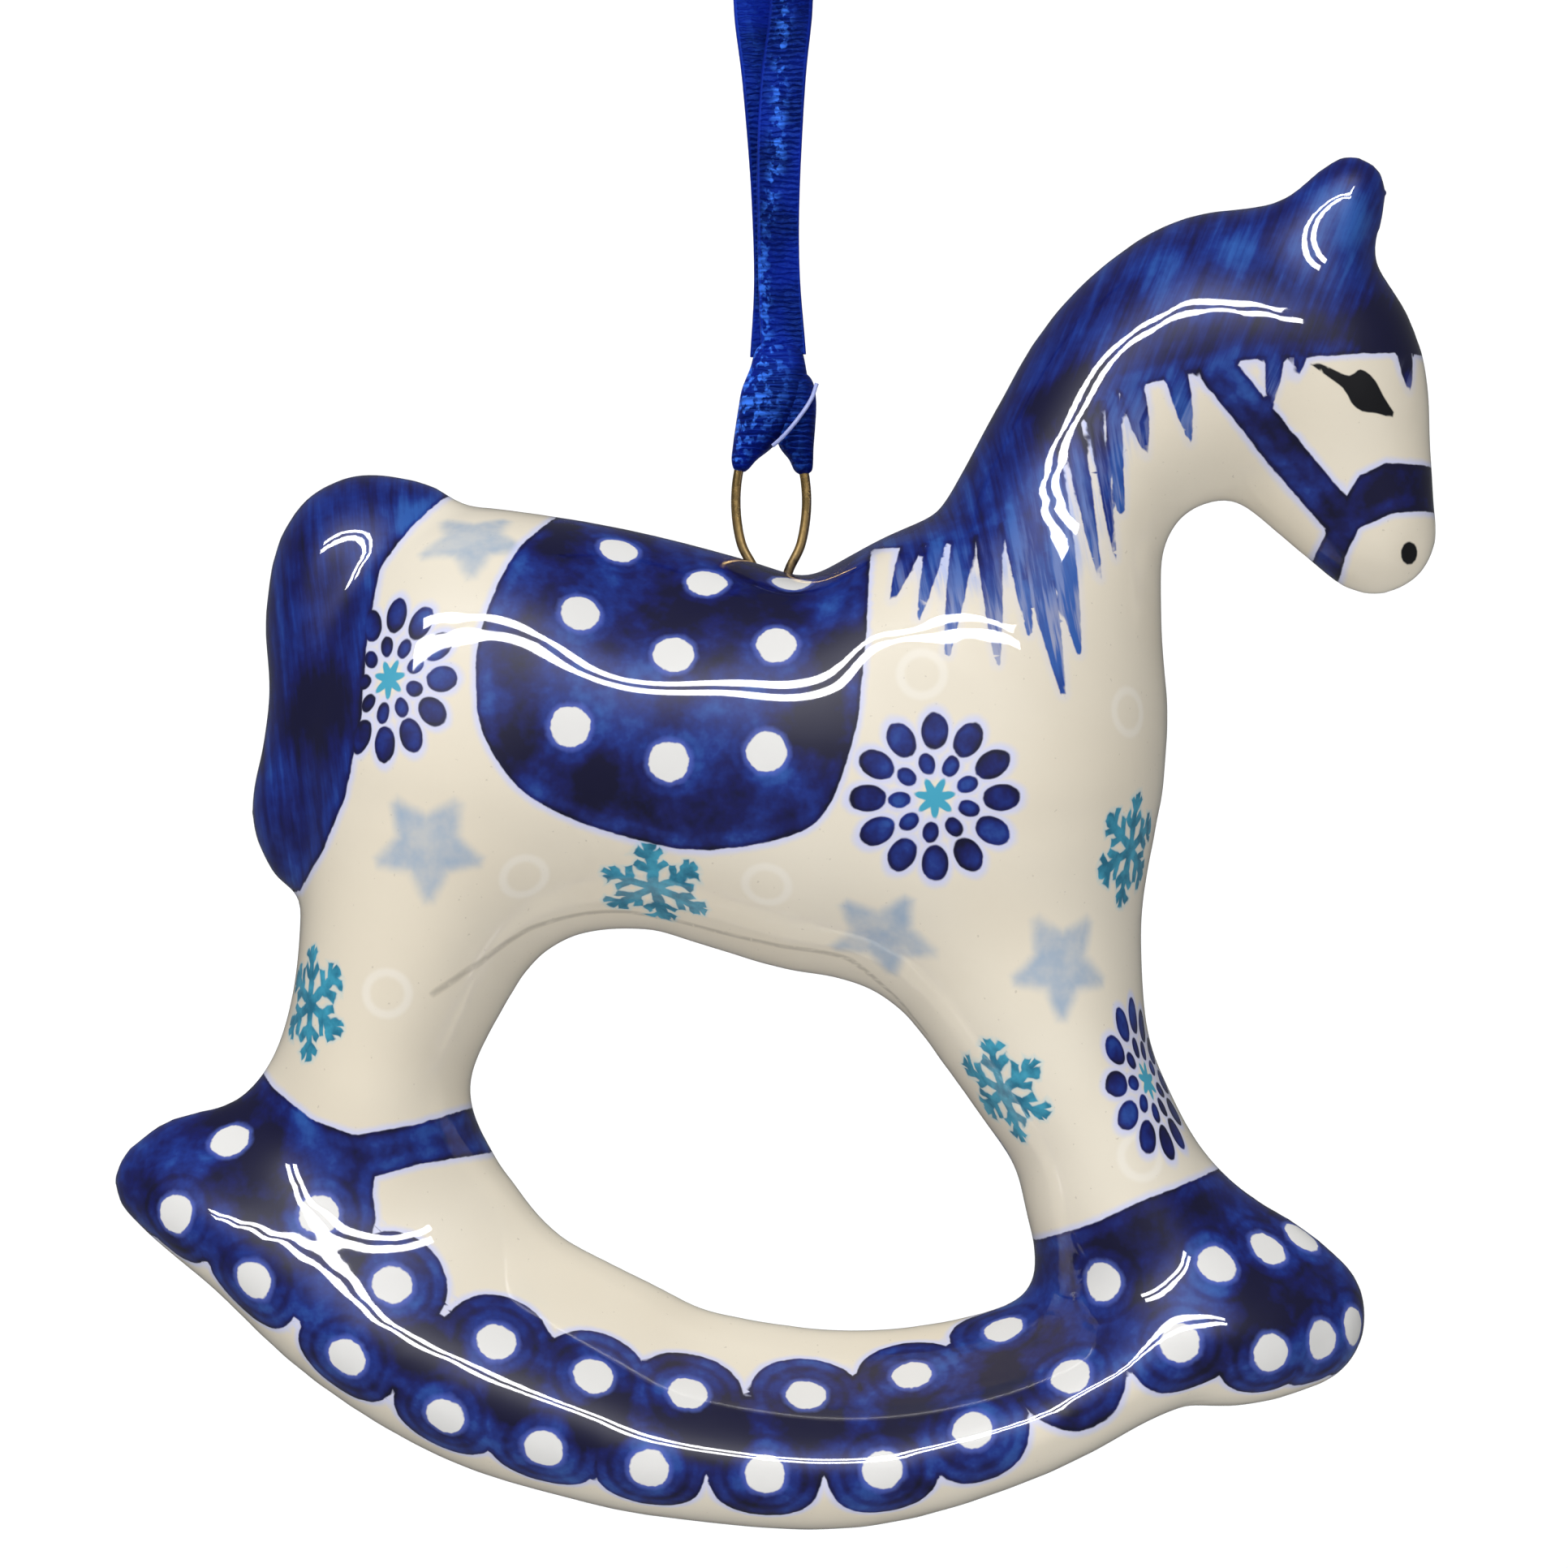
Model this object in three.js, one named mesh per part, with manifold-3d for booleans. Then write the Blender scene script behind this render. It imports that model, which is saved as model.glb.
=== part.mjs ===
// A hanging rocking-horse ornament: a hollow slip-cast stoneware horse on one wide rocker,
// a brass wire eye fired into its saddle, and a narrow satin ribbon hitched on the eye and
// knotted into a loop above. Millimetres, +Z up, +X towards the horse's head.
//
// Heights in this file count from the lowest point of the rocker. The whole ornament then
// hangs from the part's origin, the place inside the ribbon's top loop that a hook bears on.

import * as THREE from 'three';
import { mergeVertices } from 'three/addons/utils/BufferGeometryUtils.js';
import Module from 'manifold-3d';

const wasm = await Module();
wasm.setup();

// ---------------------------------------------------------------- driving dimensions

const HANG_HEIGHT = 119;        // the origin above the rocker's lowest point
const WALL = 3;                 // cast wall of the body
const GAP = 0.3;                // clearance kept between neighbouring pieces
const SKIN_CELL = 3.4;          // facet size of the outer surface
const CAVITY_CELL = 4.1;        // facet size of the hidden inner surface

const DRAIN = { x: 2, radius: 2.5 };                    // slip drain hole under the rocker
const WIRE_RADIUS = 0.35;
const SOCKET_DEPTH = 4;                                 // how deep the wire's legs sit in the clay
const SADDLE_BOSS = { x: -0.4, z: 66, radius: 5.5 };    // thickened clay that holds the wire

const RIBBON = { width: 3.3, thickness: 0.7 };
const FRONT_DRIFT = [0.5, 0.1, 0.1, 0.5, 1.1];      // how far each strand strays sideways
const BACK_DRIFT = [-0.4, -0.1, -0.3, -0.9, -1.5];  // on its way up from the hitch
const HITCH = { bottom: 77.2, top: 86.6, halfDepth: 2.3 };
const SWING_ROOM = { wide: 1.9, deep: 3.5 };            // slot that the wire's bow swings in
const KNOT = { bottom: 1, height: 4.2, width: 5, depth: 4 };

// ------------------------------------------------------- limbs of the modelled horse
//
// A limb is a chain of stations [x, z, radius in the side view, half width across it].
// Its surface is the sweep of ellipses through those stations.

const ROCKER = [
  [-45, 25, 3.3, 3.5], [-41.2, 25.3, 5, 6], [-35.3, 23.6, 6, 8], [-29, 18.8, 6.9, 9.5],
  [-20, 13.9, 7.7, 10.5], [-6.5, 8.3, 7.6, 11], [5.5, 7.2, 7.1, 11], [17.4, 9.6, 6.2, 10.5],
  [28.2, 15.3, 5.9, 10], [33.3, 16.2, 6.6, 9], [37.5, 15.2, 5.2, 6.5],
];
const HIND_LEG = [
  [-23.6, 53.4, 11.3, 12.5], [-26.9, 43.3, 7.9, 10.5], [-29.1, 35.5, 6.5, 9],
  [-29.3, 30.2, 6.8, 9], [-27.8, 23.5, 8, 9.5],
];
const FRONT_LEG = [
  [15.6, 52.2, 11, 12.5], [17.2, 43.3, 8.8, 10.5], [19.8, 34.9, 6.8, 9],
  [23.2, 28.7, 6.2, 8.5], [26.4, 22.5, 7, 9], [28.5, 17.7, 7, 9],
];
const BARREL = [
  [-21.8, 61.1, 13.4, 11.5], [-16.5, 59.3, 14.4, 13], [-11.7, 58.2, 14.5, 13.5],
  [-6.4, 57.3, 14, 13.5], [-0.4, 55.5, 14, 13.5], [5.5, 54.9, 14.8, 13.5],
  [11.2, 56.7, 14.8, 13], [13.6, 58, 13.6, 12],
];
const NECK = [
  [14.8, 60.5, 12.4, 11.5], [18.1, 67.4, 9.4, 10], [20.3, 72.7, 8.1, 8.8],
  [23.1, 78.3, 7.8, 8.2], [26.7, 83.1, 8.4, 8], [31.1, 86.3, 8.2, 8],
];
const HEAD = [
  [33.1, 85.6, 9.6, 8.2], [37.7, 84.5, 9.7, 7.8], [41.3, 78.4, 6.7, 6],
  [43.8, 73.6, 4.6, 4.8], [44.2, 72.9, 4.3, 4.4],
];
const CROWN = [[33.5, 91.2, 4.1, 4], [36.5, 92.2, 4.2, 4]];
const EAR = [[38.3, 92.1, 4.3, 2.8], [41.2, 95.6, 3.6, 2.6], [42, 97.1, 3, 2.2]];
const EAR_SPREAD = 3.3;         // each ear's distance from the middle plane
const TAIL = [
  [-27.2, 72.1, 4.5, 4.5], [-30.8, 71.1, 5.5, 6.5], [-33.2, 66.5, 4.3, 6.5],
  [-33.3, 61.1, 3.9, 6], [-34, 56.4, 3.7, 5.5], [-34.8, 52.2, 3.7, 5], [-34.8, 49.1, 2.6, 3.5],
];

const STEPS_PER_STATION = 4;

/** The sweep through a limb's stations, as a list of short straight spans. */
function limb(stations, spread = 0) {
  const places = stations.map(([x, z]) => new THREE.Vector3(x, spread, z));
  const girths = stations.map(([, , inPlane, across]) => new THREE.Vector3(inPlane, across, 0));
  const path = new THREE.CatmullRomCurve3(places, false, 'catmullrom');
  const girth = new THREE.CatmullRomCurve3(girths, false, 'catmullrom');
  const steps = (stations.length - 1) * STEPS_PER_STATION;
  const at = path.getPoints(steps);
  const size = girth.getPoints(steps);
  return at.slice(1).map((end, i) => ({ from: at[i], to: end, slim: size[i], full: size[i + 1] }));
}

/** Roughly how far (x, y, z) lies outside a limb; negative inside it. */
function outsideLimb(spans, x, y, z) {
  let least = Infinity;
  for (const { from, to, slim, full } of spans) {
    const alongX = to.x - from.x;
    const alongZ = to.z - from.z;
    const reach = ((x - from.x) * alongX + (z - from.z) * alongZ) / (alongX ** 2 + alongZ ** 2);
    const t = THREE.MathUtils.clamp(reach, 0, 1);
    const inPlane = THREE.MathUtils.lerp(slim.x, full.x, t);
    const across = THREE.MathUtils.lerp(slim.y, full.y, t);
    const sideways = Math.hypot(x - from.x - t * alongX, z - from.z - t * alongZ);
    const ratio = Math.hypot(sideways / inPlane, (y - from.y) / across);
    least = Math.min(least, (ratio - 1) * Math.min(inPlane, across));
  }
  return least;
}

/** The union of two distances, with a fillet about `fillet` wide where they meet. */
function blend(a, b, fillet) {
  const nearness = Math.max(fillet - Math.abs(a - b), 0);
  return Math.min(a, b) - nearness ** 2 / (4 * fillet);
}

const horseLimbs = [
  { spans: limb(ROCKER) },
  { spans: limb(HIND_LEG), fillet: 4 },
  { spans: limb(FRONT_LEG), fillet: 4 },
  { spans: limb(BARREL), fillet: 5 },
  { spans: limb(NECK), fillet: 4 },
  { spans: limb(HEAD), fillet: 4 },
  { spans: limb(CROWN), fillet: 3 },
  { spans: limb(EAR, EAR_SPREAD), fillet: 1.5, paired: true },
  { spans: limb(TAIL), fillet: 1.5 },
];
// Ears, crown and tail are cast solid, and so are the rocker's tips.
const hollowLimbs = [ROCKER.slice(2, -1), HIND_LEG, FRONT_LEG, BARREL, NECK, HEAD.slice(0, 3)]
  .map((stations) => ({ spans: limb(stations), fillet: 3 }));

function outside(limbs, x, y, z) {
  return limbs.reduce((sum, { spans, fillet, paired }) => {
    const distance = outsideLimb(spans, x, paired ? Math.abs(y) : y, z);
    return fillet ? blend(sum, distance, fillet) : distance;
  }, Infinity);
}

// --------------------------------------------------------------- skinning a distance

/** The closed surface where `distance` is zero: one vertex in each cell that it crosses. */
function skin(distance, box, cell) {
  const size = box.getSize(new THREE.Vector3());
  const [nx, ny, nz] = size.toArray().map((length) => Math.ceil(length / cell) + 1);
  // The grid is centred on the box, so that the two sides of the casting come out alike.
  const start = new THREE.Vector3(1 - nx, 1 - ny, 1 - nz).multiplyScalar(cell / 2)
    .add(box.getCenter(new THREE.Vector3()));
  const corner = (i, j, k) => (i * ny + j) * nz + k;
  const place = (i, j, k) => new THREE.Vector3(i, j, k).multiplyScalar(cell).add(start);
  const value = new Float64Array(nx * ny * nz);
  for (let i = 0; i < nx; i++) {
    for (let j = 0; j < ny; j++) {
      for (let k = 0; k < nz; k++) {
        const p = place(i, j, k);
        value[corner(i, j, k)] = distance(p.x, p.y, p.z);
      }
    }
  }
  unpinch(value, [nx, ny, nz], corner);
  const inside = (i, j, k) => value[corner(i, j, k)] < 0;

  const points = [];
  const pointOf = new Map();
  function pointIn(i, j, k) {
    const key = corner(i, j, k);
    if (!pointOf.has(key)) {
      pointOf.set(key, points.length);
      points.push(settle(distance, middleOfCrossings(i, j, k), cell));
    }
    return pointOf.get(key);
  }
  function middleOfCrossings(i, j, k) {
    const sum = new THREE.Vector3();
    let count = 0;
    for (let n = 0; n < 8; n++) {
      const here = [i + (n & 1), j + ((n >> 1) & 1), k + ((n >> 2) & 1)];
      for (let axis = 0; axis < 3; axis++) {
        if ((n >> axis) & 1) continue;
        const next = here.map((c, a) => c + (a === axis ? 1 : 0));
        const a = value[corner(...here)];
        const b = value[corner(...next)];
        if (a < 0 === b < 0) continue;
        sum.add(place(...here).lerp(place(...next), a / (a - b)));
        count++;
      }
    }
    return sum.divideScalar(count);
  }

  const faces = [];
  const quad = (a, b, c, d, turned) => {
    faces.push(...(turned ? [a, c, b, a, d, c] : [a, b, c, a, c, d]));
  };
  for (let i = 1; i < nx - 1; i++) {
    for (let j = 1; j < ny - 1; j++) {
      for (let k = 1; k < nz - 1; k++) {
        const here = inside(i, j, k);
        if (here !== inside(i + 1, j, k)) {
          quad(pointIn(i, j - 1, k - 1), pointIn(i, j, k - 1), pointIn(i, j, k),
            pointIn(i, j - 1, k), !here);
        }
        if (here !== inside(i, j + 1, k)) {
          quad(pointIn(i - 1, j, k - 1), pointIn(i - 1, j, k), pointIn(i, j, k),
            pointIn(i, j, k - 1), !here);
        }
        if (here !== inside(i, j, k + 1)) {
          quad(pointIn(i - 1, j - 1, k), pointIn(i, j - 1, k), pointIn(i, j, k),
            pointIn(i - 1, j, k), !here);
        }
      }
    }
  }
  const geometry = new THREE.BufferGeometry().setFromPoints(points);
  geometry.setIndex(faces);
  return geometry;
}

/**
 * A grid face whose corners alternate between inside and outside would pinch the surface
 * into an edge with four sides, so its weakest corner changes side until none is left.
 */
function unpinch(value, [nx, ny, nz], corner) {
  const turns = [[[1, 0, 0], [0, 1, 0]], [[0, 1, 0], [0, 0, 1]], [[0, 0, 1], [1, 0, 0]]];
  let pinched = true;
  while (pinched) {
    pinched = false;
    for (let i = 0; i < nx - 1; i++) {
      for (let j = 0; j < ny - 1; j++) {
        for (let k = 0; k < nz - 1; k++) {
          for (const [u, v] of turns) {
            const around = [
              corner(i, j, k),
              corner(i + u[0], j + u[1], k + u[2]),
              corner(i + u[0] + v[0], j + u[1] + v[1], k + u[2] + v[2]),
              corner(i + v[0], j + v[1], k + v[2]),
            ];
            const alternate = around.every((c, n) => value[c] < 0 !== value[around[(n + 1) % 4]] < 0);
            if (!alternate) continue;
            const weakest = around.reduce((a, b) => (Math.abs(value[a]) < Math.abs(value[b]) ? a : b));
            value[weakest] *= -1;
            pinched = true;
          }
        }
      }
    }
  }
}

/** Moves a point onto the surface along the slope, by no more than half a cell. */
function settle(distance, start, cell) {
  const probe = 0.01;
  const p = start.clone();
  for (let round = 0; round < 4; round++) {
    const here = distance(p.x, p.y, p.z);
    const slope = new THREE.Vector3(
      distance(p.x + probe, p.y, p.z) - here,
      distance(p.x, p.y + probe, p.z) - here,
      distance(p.x, p.y, p.z + probe) - here,
    ).divideScalar(probe);
    p.addScaledVector(slope, -here / Math.max(slope.lengthSq(), 0.2));
  }
  const moved = p.sub(start);
  return moved.clampLength(0, cell / 2).add(start);
}

// --------------------------------------------------------------- solids and booleans

function solid(geometry) {
  const bare = geometry.clone();
  bare.deleteAttribute('normal');
  bare.deleteAttribute('uv');
  const merged = mergeVertices(bare, 1e-4);
  return new wasm.Manifold(new wasm.Mesh({
    numProp: 3,
    vertProperties: new Float32Array(merged.attributes.position.array),
    triVerts: new Uint32Array(merged.index.array),
  }));
}

function geometryOf(manifold) {
  const { vertProperties, triVerts } = manifold.getMesh();
  const geometry = new THREE.BufferGeometry();
  geometry.setAttribute('position', new THREE.BufferAttribute(vertProperties, 3));
  geometry.setIndex(new THREE.BufferAttribute(triVerts, 1));
  return geometry;
}

/** A tube of oval section along a path; `wide` lies in the side view's plane. */
function tube(path, wide, deep, sides, steps) {
  const section = new THREE.Shape();
  section.absellipse(0, 0, deep / 2, wide / 2, 0, 2 * Math.PI);
  const outline = new THREE.Shape(section.getSpacedPoints(sides).slice(0, sides));
  return new THREE.ExtrudeGeometry(outline, { steps, bevelEnabled: false, extrudePath: path });
}

function curve(...points) {
  return new THREE.CatmullRomCurve3(points.map(([x, z, y = 0]) => new THREE.Vector3(x, y, z)));
}

// ---------------------------------------------------------------------- the wire eye

const SADDLE_TOP = 69.6;
const wireEye = curve(
  [-1.3, SADDLE_TOP - SOCKET_DEPTH], [-1.5, SADDLE_TOP], [-2.6, 71.9], [-3, 74.8], [-2.7, 77.6],
  [-1.7, 79.6], [-0.4, 80.4], [0.9, 79.6], [1.9, 77.6], [2.2, 74.8], [1.8, 71.9],
  [0.8, SADDLE_TOP], [0.6, SADDLE_TOP - SOCKET_DEPTH],
);
const WIRE_STEPS = 44;

function wire(radius) {
  return tube(wireEye, 2 * radius, 2 * radius, 8, WIRE_STEPS);
}

// ------------------------------------------------------------------- the ceramic body

const bodyBox = new THREE.Box3(
  new THREE.Vector3(-48.4, -13.6, 0),
  new THREE.Vector3(48.4, 13.6, 100.2),
).expandByScalar(3 * SKIN_CELL);

function horseBody() {
  const outer = solid(skin((x, y, z) => outside(horseLimbs, x, y, z), bodyBox, SKIN_CELL));
  const cavity = solid(
    skin((x, y, z) => outside(hollowLimbs, x, y, z) + WALL, bodyBox, CAVITY_CELL),
  );
  const boss = solid(new THREE.SphereGeometry(SADDLE_BOSS.radius, 16, 10)
    .translate(SADDLE_BOSS.x, 0, SADDLE_BOSS.z));
  const drain = solid(new THREE.CylinderGeometry(DRAIN.radius, DRAIN.radius, 8, 16)
    .rotateX(Math.PI / 2)
    .translate(DRAIN.x, 0, 2));
  return outer
    .subtract(cavity.subtract(boss))
    .subtract(solid(wire(WIRE_RADIUS + GAP)))
    .subtract(drain);
}

// ------------------------------------------------------------------- the satin ribbon

/** The hitch: the ribbon's two turns round the wire, drawn up under the crossing strands. */
function ribbonHitch() {
  const side = new THREE.Shape();
  side.moveTo(-2, HITCH.top);
  side.bezierCurveTo(-2, 84.6, -2.9, 84, -2.9, 82);
  side.quadraticCurveTo(-3, 79, -3.6, HITCH.bottom);
  side.lineTo(-1.7, HITCH.bottom - 0.1);
  side.quadraticCurveTo(-0.9, 78.9, -0.2, 79);
  side.quadraticCurveTo(0.5, 79, 0.9, HITCH.bottom);
  side.lineTo(2.9, HITCH.bottom);
  side.bezierCurveTo(2.6, 80, 3.2, 83, 2.8, 84);
  side.quadraticCurveTo(2.2, 85, 2, HITCH.top);
  const lump = new THREE.ExtrudeGeometry(side, {
    depth: 2 * HITCH.halfDepth, bevelEnabled: false, curveSegments: 4,
  });
  lump.rotateX(Math.PI / 2);
  lump.translate(0, HITCH.halfDepth, 0);
  // Room for the top of the eye to swing to and fro inside the hitch.
  const bow = curve([-3, 75.4], [-2.7, 77.6], [-1.7, 79.6], [-0.4, 80.4], [0.9, 79.6],
    [1.9, 77.6], [2.2, 75.4]);
  return solid(lump).subtract(solid(tube(bow, SWING_ROOM.wide, SWING_ROOM.deep, 8, 12)));
}

/**
 * One of the two strands, from the hitch to the knot. They lie one in front of the other,
 * and part round the hook that they hang on. `side` is -1 for the front strand, 1 for the back.
 */
function ribbonStrand(side, drift) {
  const flat = 0.6 * side;
  const roundHook = 1.8 * side;
  const path = curve(
    [drift[0], HITCH.top + GAP, flat],
    [drift[1], 92, flat],
    [drift[2], 99, flat],
    [drift[3], 106, flat],
    [drift[4], 111, 0.5 * (flat + roundHook)],
    [drift[4], 114.5, roundHook],
    [0.5 * drift[4], 117, 0.6 * roundHook],
    [0, HANG_HEIGHT, flat],
  );
  return tube(path, RIBBON.width, RIBBON.thickness, 8, 16);
}

/** The overhand knot that closes the loop, with the ribbon's two cut ends. */
function ribbonKnot() {
  const lump = new THREE.SphereGeometry(0.5, 12, 8)
    .scale(KNOT.width, KNOT.depth, KNOT.height)
    .translate(0, 0, HANG_HEIGHT + KNOT.bottom + KNOT.height / 2);
  const rise = HANG_HEIGHT + KNOT.bottom + KNOT.height - 1;
  const tails = [-1, 1].map((side) => tube(
    curve([0.6 * side, rise], [1.6 * side, rise + 4], [3.4 * side, rise + 8]),
    RIBBON.width, RIBBON.thickness, 8, 4,
  ));
  return tails.reduce((knot, tail) => knot.add(solid(tail)), solid(lump));
}

// --------------------------------------------------------------------------- assembly

const glazedStoneware = new THREE.MeshStandardMaterial({ color: 0xece4d2, roughness: 0.12 });
const brassWire = new THREE.MeshStandardMaterial({ color: 0xbe9650, roughness: 0.3, metalness: 1 });
const blueSatin = new THREE.MeshStandardMaterial({ color: 0x051496, roughness: 0.45 });

function part(name, geometry, material) {
  const mesh = new THREE.Mesh(geometry, material.clone());
  mesh.name = name;
  return mesh;
}

const horse = new THREE.Group();
horse.add(
  part('horse_body', geometryOf(horseBody()), glazedStoneware),
  part('wire_loop', wire(WIRE_RADIUS), brassWire),
);

const ribbon = new THREE.Group();
ribbon.add(
  part('ribbon_hitch', geometryOf(ribbonHitch()), blueSatin),
  part('ribbon_strand_front', ribbonStrand(-1, FRONT_DRIFT), blueSatin),
  part('ribbon_strand_back', ribbonStrand(1, BACK_DRIFT), blueSatin),
  part('ribbon_knot', geometryOf(ribbonKnot()), blueSatin),
);

const ornament = new THREE.Group();
ornament.add(horse, ribbon);
ornament.position.z = -HANG_HEIGHT;

export default ornament;
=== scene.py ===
import math

import bpy
import numpy as np
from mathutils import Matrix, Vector


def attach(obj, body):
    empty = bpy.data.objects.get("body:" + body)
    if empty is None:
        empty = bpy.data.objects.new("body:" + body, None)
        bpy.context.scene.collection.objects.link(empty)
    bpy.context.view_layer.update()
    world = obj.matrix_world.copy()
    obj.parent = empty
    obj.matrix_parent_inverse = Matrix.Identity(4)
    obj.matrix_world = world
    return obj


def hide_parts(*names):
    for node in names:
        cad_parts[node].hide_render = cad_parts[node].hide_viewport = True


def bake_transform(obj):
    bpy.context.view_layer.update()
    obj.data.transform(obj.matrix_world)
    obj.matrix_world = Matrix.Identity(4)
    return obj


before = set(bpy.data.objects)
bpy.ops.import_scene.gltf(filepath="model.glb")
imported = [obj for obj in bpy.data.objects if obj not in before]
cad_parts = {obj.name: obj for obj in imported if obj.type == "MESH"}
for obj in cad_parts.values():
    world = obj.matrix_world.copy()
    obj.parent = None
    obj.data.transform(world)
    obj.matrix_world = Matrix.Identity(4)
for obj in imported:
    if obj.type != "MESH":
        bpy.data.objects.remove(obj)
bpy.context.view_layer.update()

# ---------------------------------------------------------------------------- the view
# The ornament hangs in front of a plain pale sweep. The eye is a little below its middle,
# so the underside of the belly shows, and near enough for a small thing held up to look at.

MM = 0.001
HANG_HEIGHT = 119.0      # the hook's place above the rocker's lowest point

VIEW_MIDDLE = Vector((0.54, 0, 54.2 - HANG_HEIGHT)) * MM
VIEW_WIDTH = 115 * MM    # what the picture takes in at the ornament's middle plane
EYE_DISTANCE = 380 * MM
LOOK_UP = math.radians(2.5)
SENSOR = 36

camera_data = bpy.data.cameras.new("eye")
camera = bpy.data.objects.new("eye", camera_data)
bpy.context.scene.collection.objects.link(camera)
camera_data.sensor_width = SENSOR
camera_data.lens = SENSOR * EYE_DISTANCE / VIEW_WIDTH
camera_data.clip_start = 0.01
line_of_sight = Vector((0, math.cos(LOOK_UP), math.sin(LOOK_UP)))
camera.location = VIEW_MIDDLE - line_of_sight * EYE_DISTANCE
camera.rotation_euler = line_of_sight.to_track_quat("-Z", "Y").to_euler()
bpy.context.scene.camera = camera
bpy.context.scene.view_settings.view_transform = "Standard"


# ----------------------------------------------------------------------- satin ribbon
# One length of narrow blue satin ribbon, woven with a fine weft rib and two firm selvages.
# It is hitched on the wire eye and its ends are knotted together. Its two strands hang
# one in front of the other and part round the hook.

class Amount:
    """A number that varies over a surface: one node socket that works in expressions."""

    def __init__(self, finish, socket):
        self.finish = finish
        self.socket = socket

    def math(self, operation, *others):
        return self.finish.node("ShaderNodeMath", {"operation": operation}, [self, *others])

    def __add__(self, other):
        return self.math("ADD", other)

    def __sub__(self, other):
        return self.math("SUBTRACT", other)

    def __rsub__(self, other):
        return self.finish.node("ShaderNodeMath", {"operation": "SUBTRACT"}, [other, self])

    def __mul__(self, other):
        return self.math("MULTIPLY", other)

    def __truediv__(self, other):
        return self.math("DIVIDE", other)

    __radd__ = __add__
    __rmul__ = __mul__

    def lower(self, other):
        return self.math("MINIMUM", other)

    def higher(self, other):
        return self.math("MAXIMUM", other)

    def size(self):
        return self.math("ABSOLUTE")

    def rise(self, low, high):
        """0 below low, 1 above high, smooth between them."""
        return self.finish.node(
            "ShaderNodeMapRange", {"interpolation_type": "SMOOTHSTEP"},
            {"Value": self, "From Min": low, "From Max": high},
        )

    def band(self, low, high, soft):
        """1 between low and high, with edges `soft` wide."""
        return self.rise(low - soft, low + soft) * (1 - self.rise(high - soft, high + soft))


class Finish:
    """A material's node tree, ending in one Principled shader."""

    def __init__(self, name):
        self.material = bpy.data.materials.new(name)
        self.material.use_nodes = True
        self.tree = self.material.node_tree
        self.tree.nodes.clear()
        output = self.tree.nodes.new("ShaderNodeOutputMaterial")
        self.shader = self.tree.nodes.new("ShaderNodeBsdfPrincipled")
        self.tree.links.new(self.shader.outputs[0], output.inputs["Surface"])

    def feed(self, socket, value):
        if isinstance(value, Amount):
            self.tree.links.new(value.socket, socket)
        else:
            socket.default_value = value

    def node(self, kind, settings=None, inputs=None, output=0):
        """Any node: its settings first, then the values or links of its sockets."""
        made = self.tree.nodes.new(kind)
        for key, value in (settings or {}).items():
            if key == "stops":
                while len(made.color_ramp.elements) < len(value):
                    made.color_ramp.elements.new(1.0)
                for element, (place, colour) in zip(made.color_ramp.elements, value):
                    element.position = place
                    element.color = (*colour, 1)
            else:
                setattr(made, key, value)
        pairs = enumerate(inputs) if isinstance(inputs, list) else (inputs or {}).items()
        for key, value in pairs:
            self.feed(made.inputs[key], value)
        return Amount(self, made.outputs[output])

    def attribute(self, name, output="Fac"):
        return self.node("ShaderNodeAttribute", {"attribute_name": name}, output=output)

    def place(self):
        return self.node("ShaderNodeTexCoord", output="Object")

    def noise(self, vector, scale, detail=3.0, roughness=0.55):
        return self.node("ShaderNodeTexNoise", {"normalize": True}, {
            "Vector": vector, "Scale": scale, "Detail": detail, "Roughness": roughness,
        })

    def mix(self, amount, under, over):
        """Colour `over` laid on colour `under` by an amount from 0 to 1."""
        made = self.tree.nodes.new("ShaderNodeMix")
        made.data_type = "RGBA"
        for place, value in ((0, amount), (6, under), (7, over)):   # the colour pair is 6 and 7
            if isinstance(value, tuple):
                value = (*value, 1)
            self.feed(made.inputs[place], value)
        return Amount(self, made.outputs[2])

    def bump(self, height, distance, strength):
        return self.node("ShaderNodeBump", None, {
            "Height": height, "Distance": distance, "Strength": strength,
        })

    def set(self, **values):
        """Feeds the shader's sockets: base_color=..., coat_weight=..."""
        for name, value in values.items():
            if isinstance(value, tuple) and len(value) == 3:
                value = (*value, 1)
            label = name.replace("_", " ").title().replace("Ior", "IOR")
            self.feed(self.shader.inputs[label], value)
        return self.material


RIBBON_WIDTH = 3.3 * MM
RIBBON_THICKNESS = 0.34 * MM
SATIN_DEEP = (0.0008, 0.002, 0.06)
SATIN_BLUE = (0.002, 0.008, 0.21)
SATIN_SHEEN = (0.15, 0.28, 1.0)
# the bright blue of the highlight painted into the satin's colour
SATIN_GLINT = (0.05, 0.22, 1.0)
WEFT_PITCH = 0.42 * MM


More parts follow.
